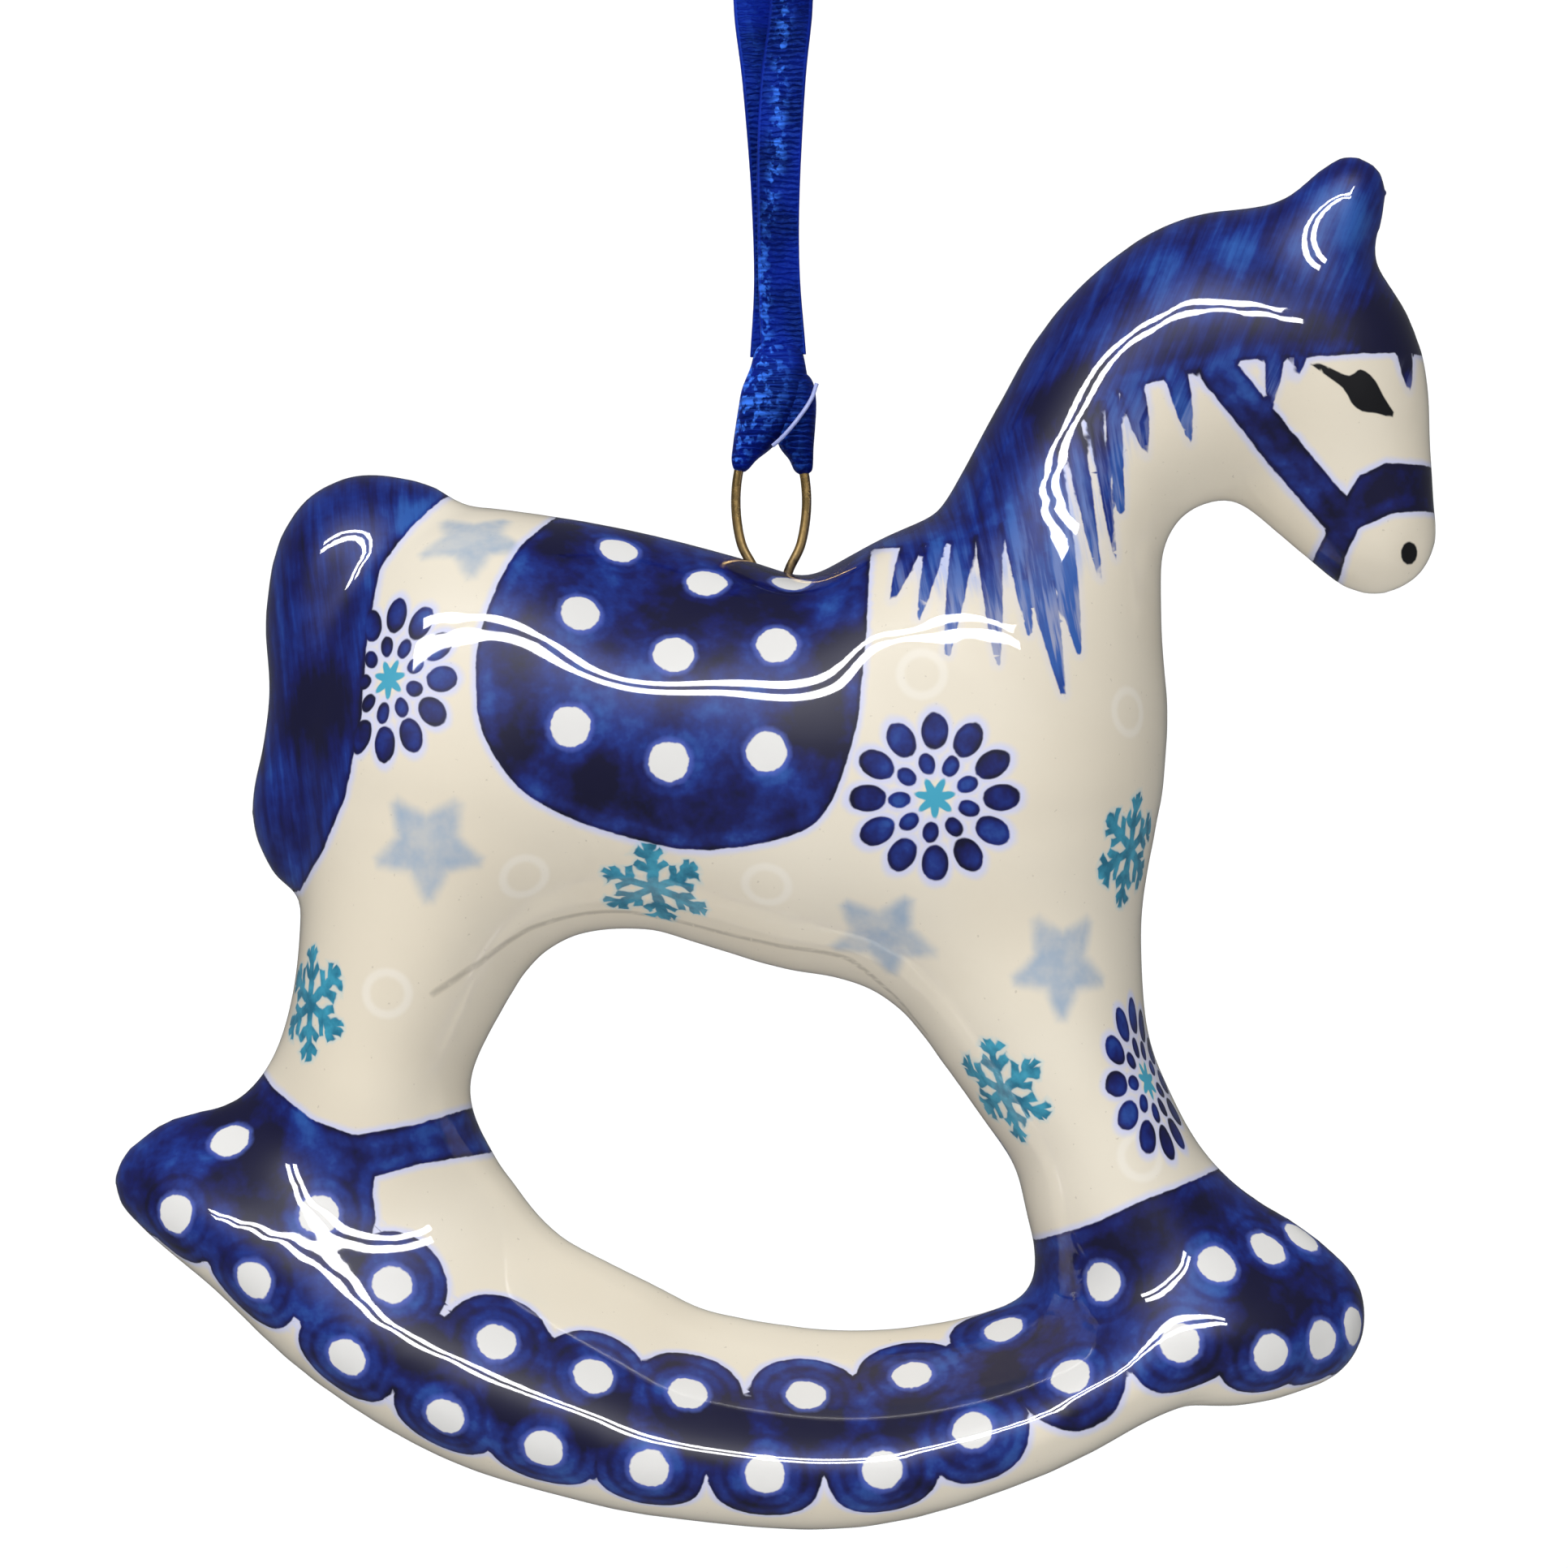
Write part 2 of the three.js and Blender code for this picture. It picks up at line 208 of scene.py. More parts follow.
def satin():
    """Satin reads two distances on the cloth, `along` and `across` it, and `shine`, where a
    highlight is painted into its colour.
    """
    f = Finish("royal blue satin")
    along = f.attribute("along")
    across = f.attribute("across")
    weave = f.node("ShaderNodeCombineXYZ", None, [along / WEFT_PITCH, across / (0.9 * MM), 0.0])
    wander = f.noise(weave, 0.8, 2.0)
    ribs = ((along / WEFT_PITCH + 1.6 * wander) * (2 * math.pi)).math("SINE") * 0.5 + 0.5
    threads = f.noise(weave, 3.0, 3.0, 0.7)
    selvage = across.size().rise(0.42 * RIBBON_WIDTH, 0.47 * RIBBON_WIDTH)
    shade = f.noise(f.place(), 260.0, 2.0)
    patchy = f.noise(f.place(), 1700.0, 2.0)
    blue = f.mix(shade.rise(0.35, 0.7), SATIN_DEEP, SATIN_BLUE)
    blue = f.mix(ribs * threads.rise(0.35, 0.75) * 0.35, blue, (0.004, 0.035, 0.5))
    blue = f.mix(selvage * 0.35, blue, (0.01, 0.03, 0.4))
    # Painted highlight: where `shine` is high the colour is lifted towards SATIN_GLINT in patches
    # along the ribs.
    glint = f.attribute("shine") * (0.4 + 0.6 * ribs) * patchy.rise(0.46, 0.58)
    blue = f.mix(glint, blue, SATIN_GLINT)
    height = ribs * (1 - selvage) + threads * 0.5 + selvage * 1.2
    return f.set(
        base_color=blue,
        roughness=0.42 + 0.2 * threads,
        normal=f.bump(height, 0.06 * MM, 0.8),
        sheen_weight=0.15, sheen_roughness=0.4, sheen_tint=SATIN_SHEEN,
        specular_ior_level=0.5, specular_tint=(0.05, 0.2, 1.0), anisotropic=0.6,
    )


satin_finish = satin()


def through(points, steps=10, closed=False):
    """A smooth run through given points (any number of columns), as an array."""
    p = np.array(points, float)
    if closed:
        p = np.vstack([p[-1], p, p[0], p[1]])
    else:
        p = np.vstack([2 * p[0] - p[1], p, 2 * p[-1] - p[-2]])
    t = np.linspace(0, 1, steps, endpoint=False)[:, None]
    runs = []
    for a, b, c, d in zip(p, p[1:], p[2:], p[3:]):
        runs.append(0.5 * (2 * b + (c - a) * t + (2 * a - 5 * b + 4 * c - d) * t**2
                           + (3 * b - a - 3 * c + d) * t**3))
    return np.vstack(runs if closed else [*runs, p[-2:-1]])


def hung(points):
    """Places given in mm above the rocker's lowest point, as metres below the hook."""
    moved = np.array(points, float)
    moved[:, 2] -= HANG_HEIGHT
    return moved * MM


def new_piece(name, mesh, material):
    mesh.materials.clear()
    mesh.materials.append(material)
    mesh.shade_smooth()
    piece = bpy.data.objects.new(name, mesh)
    bpy.context.scene.collection.objects.link(piece)
    return piece


def read_numbers(mesh, name):
    values = np.zeros(len(mesh.vertices), np.float32)
    mesh.attributes[name].data.foreach_get("value", values)
    return values


def put_numbers(mesh, name, values, kind="FLOAT"):
    layer = mesh.attributes.new(name, kind, "POINT")
    key = "vector" if kind == "FLOAT_VECTOR" else "value"
    layer.data.foreach_set(key, np.asarray(values, np.float32).ravel())


TAPE_SIDES = 32
WIRE_SIDES = 16


def sweep_tree(name, flat):
    """Geometry nodes that sweep a section along a line: cupped tape, or round wire."""
    tree = bpy.data.node_groups.new(name, "GeometryNodeTree")
    face = tree.interface
    face.new_socket("Line", in_out="INPUT", socket_type="NodeSocketGeometry")
    for label in ("Width", "Thickness", "Cup"):
        face.new_socket(label, in_out="INPUT", socket_type="NodeSocketFloat")
    face.new_socket("Material", in_out="INPUT", socket_type="NodeSocketMaterial")
    face.new_socket("Swept", in_out="OUTPUT", socket_type="NodeSocketGeometry")
    given = tree.nodes.new("NodeGroupInput")
    result = tree.nodes.new("NodeGroupOutput")

    def step(kind, settings=(), **inputs):
        made = tree.nodes.new(kind)
        for key, value in dict(settings).items():
            setattr(made, key, value)
        for key, value in inputs.items():
            socket = made.inputs[key.replace("_", " ")]
            if isinstance(value, bpy.types.NodeSocket):
                tree.links.new(value, socket)
            else:
                socket.default_value = value
        return made

    def calculate(operation, first, second):
        made = tree.nodes.new("ShaderNodeMath")
        made.operation = operation
        for socket, value in zip(made.inputs, (first, second)):
            if isinstance(value, bpy.types.NodeSocket):
                tree.links.new(value, socket)
            else:
                socket.default_value = value
        return made.outputs[0]

    line = step("GeometryNodeMeshToCurve", Mesh=given.outputs["Line"])
    facing = step("GeometryNodeInputNamedAttribute", {"data_type": "FLOAT_VECTOR"}, Name="facing")
    turned = step("GeometryNodeSetCurveNormal", {"mode": "FREE"},
                  Curve=line.outputs[0], Normal=facing.outputs[0])
    if flat:
        section = step("GeometryNodeCurvePrimitiveQuadrilateral",
                       Width=given.outputs["Width"], Height=given.outputs["Thickness"])
        section = step("GeometryNodeResampleCurve", Curve=section.outputs[0], Count=TAPE_SIDES)
        place = step("GeometryNodeInputPosition")
        apart = step("ShaderNodeSeparateXYZ", Vector=place.outputs[0])
        section = step("GeometryNodeStoreNamedAttribute", {"data_type": "FLOAT"},
                       Geometry=section.outputs[0], Name="across", Value=apart.outputs[0])
        square = calculate("MULTIPLY", apart.outputs[0], apart.outputs[0])
        lift = step("ShaderNodeCombineXYZ", Y=calculate("MULTIPLY", square, given.outputs["Cup"]))
        section = step("GeometryNodeSetPosition", Geometry=section.outputs[0],
                       Offset=lift.outputs[0])
    else:
        radius = calculate("MULTIPLY", given.outputs["Width"], 0.5)
        section = step("GeometryNodeCurvePrimitiveCircle", Resolution=WIRE_SIDES, Radius=radius)
    swept = step("GeometryNodeCurveToMesh", Curve=turned.outputs[0],
                 Profile_Curve=section.outputs[0], Fill_Caps=True)
    smooth = step("GeometryNodeSetShadeSmooth", Geometry=swept.outputs[0])
    coloured = step("GeometryNodeSetMaterial", Geometry=smooth.outputs[0],
                    Material=given.outputs["Material"])
    real = step("GeometryNodeRealizeInstances", Geometry=coloured.outputs[0])
    tree.links.new(real.outputs[0], result.inputs[0])
    return tree


tape_tree = sweep_tree("woven tape", flat=True)
wire_tree = sweep_tree("drawn wire", flat=False)


def swept(name, tree, line, facing, material, **sizes):
    """A plain mesh swept along a line in metres; `facing` is the way the tape's width runs."""
    line = np.array(line)
    mesh = bpy.data.meshes.new(name + " line")
    mesh.from_pydata(line.tolist(), [(i, i + 1) for i in range(len(line) - 1)], [])
    steps = np.linalg.norm(np.diff(line, axis=0), axis=1)
    put_numbers(mesh, "along", np.concatenate([[0], np.cumsum(steps)]))
    put_numbers(mesh, "facing", np.broadcast_to(facing, line.shape), "FLOAT_VECTOR")
    carrier = bpy.data.objects.new(name + " line", mesh)
    bpy.context.scene.collection.objects.link(carrier)
    sweep = carrier.modifiers.new("sweep", "NODES")
    sweep.node_group = tree
    sizes = {"Material": material, **{k.title(): v for k, v in sizes.items()}}
    for item in tree.interface.items_tree:
        if item.in_out == "INPUT" and item.name in sizes:
            sweep[item.identifier] = sizes[item.name]
    ready = carrier.evaluated_get(bpy.context.evaluated_depsgraph_get())
    plain = bpy.data.meshes.new_from_object(ready)
    plain.name = name
    bpy.data.objects.remove(carrier)
    return new_piece(name, plain, material)


HITCH_TOP = 86.4
FRONT, BACK = -1, 1
STRAY = {FRONT: (0.5, 0.1, 0.1, 0.5, 1.1), BACK: (-0.4, -0.1, -0.3, -0.9, -1.5)}
TURN = {FRONT: (24, 0.4), BACK: (-20, 1.2)}      # degrees of turn, and where it starts
CUP = 60.0               # how far the tape's edges curl up: 1 / m


def ribbon_strand(name, side):
    """One strand, in mm: up from the hitch, round its side of the hook, into the knot."""
    stray = STRAY[side]
    flat = 0.6 * side
    round_hook = 1.8 * side
    route = through([
        (stray[0], flat, HITCH_TOP - 0.6), (stray[1], flat, 92), (stray[2], flat, 99),
        (stray[3], flat, 106), (stray[4], 0.5 * (flat + round_hook), 111),
        (stray[4], round_hook, 114.5), (0.5 * stray[4], 0.6 * round_hook, 117),
        (0, flat, HANG_HEIGHT),
    ], steps=14)
    path = hung(route)
    # The tape turns a little on its way up, so its edge catches the light now and then.
    height = route[:, 2]
    most, start = TURN[side]
    swing = np.radians(most * np.sin((height - 86) / 6.5 + start))
    width_way = np.stack([np.cos(swing), np.sin(swing), 0 * swing], axis=1)
    strand = swept(name, tape_tree, path, width_way, satin_finish,
                   width=RIBBON_WIDTH, thickness=RIBBON_THICKNESS, cup=CUP * side)
    along, across = (read_numbers(strand.data, label) for label in ("along", "across"))
    rise = along / MM + HITCH_TOP
    # The light glancing off one fold is painted into the colour as a highlight: an edge low down,
    # nearer the middle higher up; the back strand gets only a faint part of it.
    fold = np.interp(rise, [86, 93, 96, 101, 112, 119], [-1.3, -1.3, -0.9, -0.1, -0.5, -0.9])
    shine = np.exp(-((across / MM - fold) / 0.5) ** 2) * np.interp(
        rise, [86, 88, 93, 95, 98, 104, 110, 119], [0.3, 1, 1, 0.35, 1, 1, 0.8, 0.5])
    put_numbers(strand.data, "shine", shine if side == FRONT else 0.12 * shine)
    return strand


front_strand = ribbon_strand("ribbon_front", FRONT)
back_strand = ribbon_strand("ribbon_back", BACK)


# ---------------------------------------------------------------------- hitch and knot
# The ribbon's two turns round the wire eye are drawn up tight, so the tape gathers into
# folds that narrow to the wire. Above the hook its two ends are tied in an overhand knot.

def gathered(name, rows, folds, depth_of_fold, shine=0.2):
    """A closed lump of gathered tape through rows (x, z, half width, half depth), in mm."""
    rows = through(rows, steps=9)
    folded = len(rows) / 2.2     # the folds swell and die away over the lower rows
    around = 72
    angle = np.linspace(0, 2 * math.pi, around, endpoint=False)
    squarish = 0.75
    ring_x = np.sign(np.cos(angle)) * np.abs(np.cos(angle)) ** squarish
    ring_y = np.sign(np.sin(angle)) * np.abs(np.sin(angle)) ** squarish
    points, along, across, lit = [], [], [], []
    for n, (x, z, wide, deep) in enumerate(rows):
        fade = math.sin(math.pi * n / folded) if n < folded else 0.0
        ripple = 1 + depth_of_fold * (0.4 + 0.6 * fade) * np.cos(folds * angle + 0.12 * n)
        points.append(np.stack([x + wide * ring_x * ripple, deep * ring_y * ripple,
                                np.full(around, z)], axis=1))
        along.append(np.full(around, z * MM))
        # A highlight is painted down the lump's left side, as strong as `shine`.
        lit.append(shine * np.clip(0.55 - 0.9 * ring_x, 0, 1))
        across.append(1.2 * MM * np.cos(angle))
    points = hung(np.vstack(points))
    faces = []
    for n in range(len(rows) - 1):
        for k in range(around):
            a, b = n * around + k, n * around + (k + 1) % around
            faces.append((a, b, b + around, a + around))
    faces.append(tuple(reversed(range(around))))
    faces.append(tuple(range((len(rows) - 1) * around, len(rows) * around)))
    mesh = bpy.data.meshes.new(name)
    mesh.from_pydata(points.tolist(), [], faces)
    put_numbers(mesh, "along", np.concatenate(along))
    put_numbers(mesh, "across", np.concatenate(across))
    put_numbers(mesh, "shine", np.concatenate(lit))
    flip_outwards(mesh)
    return new_piece(name, mesh, satin_finish)


def flip_outwards(mesh):
    """Turns a closed mesh's faces outwards, by the sign of the volume that they hold."""
    co = np.zeros(len(mesh.vertices) * 3)
    mesh.vertices.foreach_get("co", co)
    co = co.reshape(-1, 3)
    mesh.calc_loop_triangles()
    tri = np.zeros(len(mesh.loop_triangles) * 3, int)
    mesh.loop_triangles.foreach_get("vertices", tri)
    a, b, c = (co[tri.reshape(-1, 3)[:, n]] for n in range(3))
    if np.einsum("ij,ij->i", a, np.cross(b, c)).sum() < 0:
        mesh.flip_normals()


def joined(name, pieces):
    """Several finished meshes as one piece."""
    bpy.ops.object.select_all(action="DESELECT")
    for piece in pieces:
        piece.select_set(True)
    bpy.context.view_layer.objects.active = pieces[0]
    bpy.ops.object.join()
    pieces[0].name = name
    pieces[0].data.name = name
    return pieces[0]


# The left turn carries a strong painted highlight, the right turn and the knot only a weak one.
left_turn = gathered("left turn", [
    (-2.6, 77.2, 0.3, 0.3), (-2.6, 77.45, 0.6, 0.75), (-2.35, 78.1, 0.95, 1.1),
    (-1.75, 79, 1.45, 1.5), (-1.05, 80.3, 2.0, 1.9), (-0.5, 81.8, 2.35, 2.1),
    (-0.15, 83.2, 2.45, 2.05), (0.1, 84.8, 2.05, 1.75), (0.15, 86, 1.75, 1.3),
    (0.15, 86.6, 1.3, 0.7),
], folds=5, depth_of_fold=0.03, shine=1.0)
right_turn = gathered("right turn", [
    (1.95, 77, 0.3, 0.3), (1.95, 77.3, 0.65, 0.7), (1.8, 78.1, 0.9, 1.05),
    (1.45, 79.1, 1.3, 1.45), (1.35, 80.6, 1.5, 1.7), (1.4, 82.4, 1.5, 1.75),
    (1.35, 83.9, 1.25, 1.5), (1.1, 84.8, 0.6, 0.8),
], folds=4, depth_of_fold=0.03, shine=0.25)


# The pale bead along the hitch's folded edge is a painted highlight: its pale lavender stands in
# for light caught by that edge.
def selvage_painted_highlight():
    f = Finish("selvage painted highlight")
    gleam_patches = f.noise(f.place(), 1800.0, 2.0)
    return f.set(base_color=f.mix(gleam_patches, (0.22, 0.28, 0.66), (0.5, 0.55, 0.86)), roughness=0.5)


selvage_line = through([(-0.3, -1.7, 78.9), (0.5, -2.0, 79.6), (1.6, -2.05, 80.9),
                        (2.5, -1.6, 82.3), (2.95, -0.9, 83.6)], steps=8)
selvage_edge = swept("selvage", wire_tree, hung(selvage_line), (0, 1, 0), selvage_painted_highlight(),
                     width=0.3 * MM)
hitch = joined("ribbon_hitch_turns", [left_turn, right_turn, selvage_edge])

knot_lump = gathered("knot lump", [
    (0, 119.6, 0.9, 0.7), (0, 120.1, 1.7, 1.3), (0.1, 121.3, 2.35, 1.8), (0.1, 122.4, 2.4, 1.85),
    (0, 123.4, 1.8, 1.4), (0, 124, 1.0, 0.8),
], folds=4, depth_of_fold=0.06)
turn_angle = np.linspace(0, 2 * math.pi, 60)
knot_turn = np.stack([2.15 * np.cos(turn_angle), 1.75 * np.sin(turn_angle),
                      121.8 + 0.8 * np.cos(turn_angle + 0.6)], axis=1)
knot_wrap = swept("knot wrap", tape_tree, hung(knot_turn), (0.2, 0.1, 1.0), satin_finish,
                  width=2.2 * MM, thickness=RIBBON_THICKNESS, cup=0.0)
tails = [
    swept("tail", tape_tree, hung(through([
        (0.4 * side, 0.2 * side, 123.2), (1.3 * side, 0.5 * side, 126.4),
        (2.3 * side, 0.2 * side, 129), (3.1 * side, -0.3 * side, 131.4),
    ], steps=10)), (0.95, 0.2 * side, -0.25 * side), satin_finish,
        width=RIBBON_WIDTH, thickness=RIBBON_THICKNESS, cup=50.0)
    for side in (-1, 1)
]
knot = joined("ribbon_overhand_knot", [knot_lump, knot_wrap, *tails])

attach(hitch, "hitch")
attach(knot, "knot")
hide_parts("ribbon_strand_front")
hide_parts("ribbon_strand_back")
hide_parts("ribbon_hitch")
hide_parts("ribbon_knot")
for strand, extras in ((front_strand, [hitch, knot]), (back_strand, [])):
    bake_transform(strand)


# ------------------------------------------------------------------------ the wire eye
# A short length of drawn brass wire, bent into a pointed oval. Its two legs are fired
# into the clay of the saddle, where the kiln has left them dark.

WIRE_THICKNESS = 0.7 * MM
SADDLE_TOP = 69.6
eye_line = through([
    (-1.35, 0, SADDLE_TOP - 2.5), (-1.5, 0, SADDLE_TOP), (-2.6, 0, 71.9), (-3, 0, 74.8),
    (-2.7, 0, 77.6), (-1.7, 0, 79.6), (-0.4, 0, 80.4), (0.9, 0, 79.6), (1.9, 0, 77.6),
    (2.2, 0, 74.8), (1.8, 0, 71.9), (0.8, 0, SADDLE_TOP), (0.65, 0, SADDLE_TOP - 2.5),
], steps=10)


def brass():
    f = Finish("kiln-darkened brass")
    place = f.place()
    height = f.node("ShaderNodeSeparateXYZ", None, [place], output="Z")
    burnt = 1 - height.rise((SADDLE_TOP - HANG_HEIGHT) * MM, (75.5 - HANG_HEIGHT) * MM)
    patchy = f.noise(place, 900.0, 3.0)
    drawn = f.noise(place, 3500.0, 2.0)
    tarnish = (burnt * 0.75 + patchy.rise(0.45, 0.75) * 0.45).lower(1.0)
    gold = f.mix(patchy, (0.72, 0.5, 0.2), (0.52, 0.33, 0.12))
    return f.set(
        base_color=f.mix(tarnish, gold, (0.03, 0.022, 0.014)),
        metallic=1 - 0.45 * tarnish,
        roughness=0.22 + 0.35 * tarnish,
        normal=f.bump(drawn, 0.02 * MM, 0.5),
    )


wire = swept("wire_eye", wire_tree, hung(eye_line), (0, 1, 0), brass(), width=WIRE_THICKNESS)
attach(wire, "horse")
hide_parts("wire_loop")


# --------------------------------------------------------------------- the cast horse
# A slip-cast stoneware horse on one wide rocker, cream under a clear gloss glaze. The
# limbs below are chains of stations (x, z, radius in the side view, half width), in mm.

ROCKER = [
    (-45, 25.2, 3.4, 3.5), (-41.3, 24.8, 5.6, 6), (-35.8, 22.5, 7.3, 8), (-28.3, 17.2, 8.4, 9.5),
    (-20.5, 13.3, 9, 10.5), (-13.2, 10.4, 8.4, 10.8), (-6.5, 8.3, 7.6, 11), (5.5, 7.2, 7.1, 11),
    (17.4, 9.8, 6.2, 10.5), (28.2, 15.1, 5.9, 10), (33.3, 16.1, 7.2, 9), (37.5, 15.5, 5.5, 6.5),
]
HIND_LEG = [
    (-23.6, 53.4, 11.3, 12.5), (-26.5, 43.3, 8.4, 10.5), (-28.8, 35.5, 6.9, 8.8),
    (-29.4, 30.2, 6.8, 8.2), (-28.5, 23.5, 7.5, 6.2),
]
FRONT_LEG = [
    (15.6, 52.2, 11.5, 12.5), (17.2, 43.3, 9.5, 10.5), (20.2, 34.7, 7.1, 9.7),
    (23.2, 28.7, 6.3, 9.2), (25.7, 22.5, 7.1, 9), (28.5, 17.7, 7, 9),
]
BARREL = [
    (-21.8, 61.1, 13.4, 11.5), (-16.5, 59.3, 14.4, 13), (-11.7, 58.2, 14.5, 13.5),
    (-6.4, 57.3, 14, 13.5), (-0.4, 55.5, 14, 13.5), (5.5, 54.9, 14.8, 13.5),
    (11.2, 56.7, 14.8, 13), (13.6, 58, 13.6, 12),
]
NECK = [
    (15, 60.5, 12.7, 11.5), (18.7, 67.2, 9.5, 10), (20.4, 72.7, 8.1, 8.8),
    (23.1, 78.3, 7.8, 8.2), (26.7, 83.1, 8.4, 8), (31.1, 86.3, 8.2, 8),
]
HEAD = [
    (33.1, 85.6, 9.6, 8.2), (37.7, 84.5, 9.7, 7.8), (41, 78.4, 7.1, 6),
    (43.4, 73.6, 5, 4.8), (43.9, 72.7, 4.6, 4.4),
]
CROWN = [(33.5, 91.2, 4.1, 4), (38, 92, 4.7, 4)]
EAR = [(38.3, 92.1, 4.3, 2.8), (41.2, 95.6, 3.6, 2.6), (42, 97.1, 3, 2.2)]
EAR_SPREAD = 3.3
TAIL = [
    (-27.2, 72.1, 4.5, 4.5), (-30.8, 71.1, 5.5, 6.5), (-33.2, 66.5, 4.3, 6.5),
    (-33.3, 61.1, 3.9, 6), (-34, 56.4, 3.7, 5.5), (-34.8, 52.2, 3.7, 5), (-34.8, 49.1, 2.6, 3.5),
]
LIMBS = [   # stations, fillet to what is there already, a pair's offset, wider below
    (ROCKER, 0, 0, 0.5), (HIND_LEG, 6, 0, 0), (FRONT_LEG, 4, 0, 0), (BARREL, 5, 0, 0),
    (NECK, 4, 0, 0), (HEAD, 4, 0, 0), (CROWN, 3, 0, 0), (EAR, 1.5, EAR_SPREAD, 0),
    (TAIL, 1.5, 0, 0),
]
limb_runs = [(through(stations, steps=4), *rest) for stations, *rest in LIMBS]


def off_limb(run, spread, base, x, y, z):
    """Roughly how far places lie outside a limb, in mm; negative inside it."""
    least = np.full(np.shape(x), np.inf)
    aside = np.abs(y) - spread if spread else y
    for (x0, z0, slim0, full0), (x1, z1, slim1, full1) in zip(run, run[1:]):
        dx, dz = x1 - x0, z1 - z0
        t = np.clip(((x - x0) * dx + (z - z0) * dz) / (dx * dx + dz * dz), 0, 1)
        slim, full = slim0 + t * (slim1 - slim0), full0 + t * (full1 - full0)
        off_x, off_z = x - x0 - t * dx, z - z0 - t * dz
        if base:
            above = np.clip((off_z * dx - off_x * dz) / (slim * math.hypot(dx, dz)), -1, 1)
            full = full * (1 - base * above)
        ratio = np.sqrt((off_x**2 + off_z**2) / slim**2 + (aside / full) ** 2)
        np.minimum(least, (ratio - 1) * np.minimum(slim, full), out=least)
    return least


def off_horse(x, y, z):
    total = None
    for run, fillet, spread, base in limb_runs:
        d = off_limb(run, spread, base, x, y, z)
        if total is None:
            total = d
            continue
        near = np.maximum(fillet - np.abs(total - d), 0)
        total = np.minimum(total, d) - near**2 / (4 * fillet)
    return total + dents(x, y, z)


def dents(x, y, z):
    """Hollows pressed in softly, in mm: ears and nostrils; and out again: rump and shoulder."""
    side = np.abs(y)
    flank = np.clip(side / 8, 0, 1) ** 2
    rump = ((x + 22) ** 2 + (z - 68.5) ** 2) / 45
    shoulder = (x - 9) ** 2 / 80 + (z - 67.5) ** 2 / 50
    saddle_hollow = (x + 9.5) ** 2 / 30 + (z - 67) ** 2 / 30
    ear = ((x - 44.2) / 1.7) ** 2 + ((side - 4.6) / 1.5) ** 2 + ((z - 94.8) / 3.0) ** 2
    nostril = ((x - 46.3) / 0.9) ** 2 + ((side - 3.6) / 1.2) ** 2 + ((z - 70.9) / 0.9) ** 2
    swell = flank * (0.9 * np.exp(-rump) + 1.5 * np.exp(-shoulder)
                     - 1.0 * np.exp(-saddle_hollow))
    return 1.1 * np.exp(-ear) + 0.35 * np.exp(-nostril) - swell


def skin(cell):
    """The horse's surface as (points in mm, four-cornered faces), on a fine even grid."""
    low, high = np.array([-50.5, -15.4, -2.2]), np.array([50.5, 15.4, 102.2])
    coarse = 4
    count = (np.ceil((high - low) / cell / coarse).astype(int)) * coarse + 1
    middle = (low + high) / 2
    axes = [m + cell * (np.arange(n) - (n - 1) / 2) for m, n in zip(middle, count)]
    rough = off_horse(*np.meshgrid(*(a[::coarse] for a in axes), indexing="ij"))
    near_block = np.abs(rough) < 1.2 * coarse * cell
    value = np.sign(rough).repeat(coarse, 0).repeat(coarse, 1).repeat(coarse, 2)
    wanted = near_block.repeat(coarse, 0).repeat(coarse, 1).repeat(coarse, 2)
    grid = tuple(slice(0, n) for n in count)
    value, wanted = value[grid].copy(), wanted[grid].copy()
    # Nearness is asked of the block's low corner, so its upper neighbours are asked as well.
    for axis in range(3):
        wanted = wanted | np.roll(wanted, coarse - 1, axis) | np.roll(wanted, 1 - coarse, axis)
    i, j, k = np.nonzero(wanted)
    value[i, j, k] = off_horse(axes[0][i], axes[1][j], axes[2][k])

    inside = value < 0
    total = np.zeros((*(count - 1), 3))
    hits = np.zeros(count - 1)
    crossings = []
    for axis in range(3):
        lower = [slice(None)] * 3
        upper = [slice(None)] * 3
        lower[axis], upper[axis] = slice(0, -1), slice(1, None)
        a, b = value[tuple(lower)], value[tuple(upper)]
        crosses = (a < 0) != (b < 0)
        at = np.array(np.nonzero(crosses))
        share = a[crosses] / (a[crosses] - b[crosses])
        place = at.T.astype(float)
        place[:, axis] += share
        crossings.append((axis, at, a[crosses] < 0))
        others = [n for n in range(3) if n != axis]
        for du in (0, 1):
            for dv in (0, 1):
                cell_at = at.copy()
                cell_at[others[0]] -= du
                cell_at[others[1]] -= dv
                np.add.at(total, tuple(cell_at), place)
                np.add.at(hits, tuple(cell_at), 1)
    used = hits > 0
    index = np.full(used.shape, -1)
    index[used] = np.arange(used.sum())
    points = total[used] / hits[used][:, None]
    points = np.stack([axes[n][0] + cell * points[:, n] for n in range(3)], axis=1)
    faces = []
    for axis, at, enters in crossings:
        u, v = [(1, 2), (2, 0), (0, 1)][axis]
        corners = []
        for du, dv in ((1, 1), (0, 1), (0, 0), (1, 0)):
            cell_at = at.copy()
            cell_at[u] -= du
            cell_at[v] -= dv
            corners.append(index[tuple(cell_at)])
        quad = np.stack(corners, axis=1)
        quad[~enters] = quad[~enters][:, ::-1]
        faces.append(quad)
    faces = np.vstack(faces)
    return eased(settled(points, cell), faces, int(3.2 / cell**2)), faces


def slope(points, probe=0.02):
    """The distance at each point and its direction of steepest rise."""
    here = off_horse(*points.T)
    ahead = [off_horse(*(points + probe * np.eye(3)[n]).T) for n in range(3)]
    return here, np.stack([(a - here) / probe for a in ahead], axis=1)


def settled(points, cell):
    points = points.copy()
    for _ in range(2):
        here, steep = slope(points)
        move = -here / np.maximum((steep**2).sum(1), 0.2)
        points += np.clip(move, -cell / 2, cell / 2)[:, None] * steep
    return points


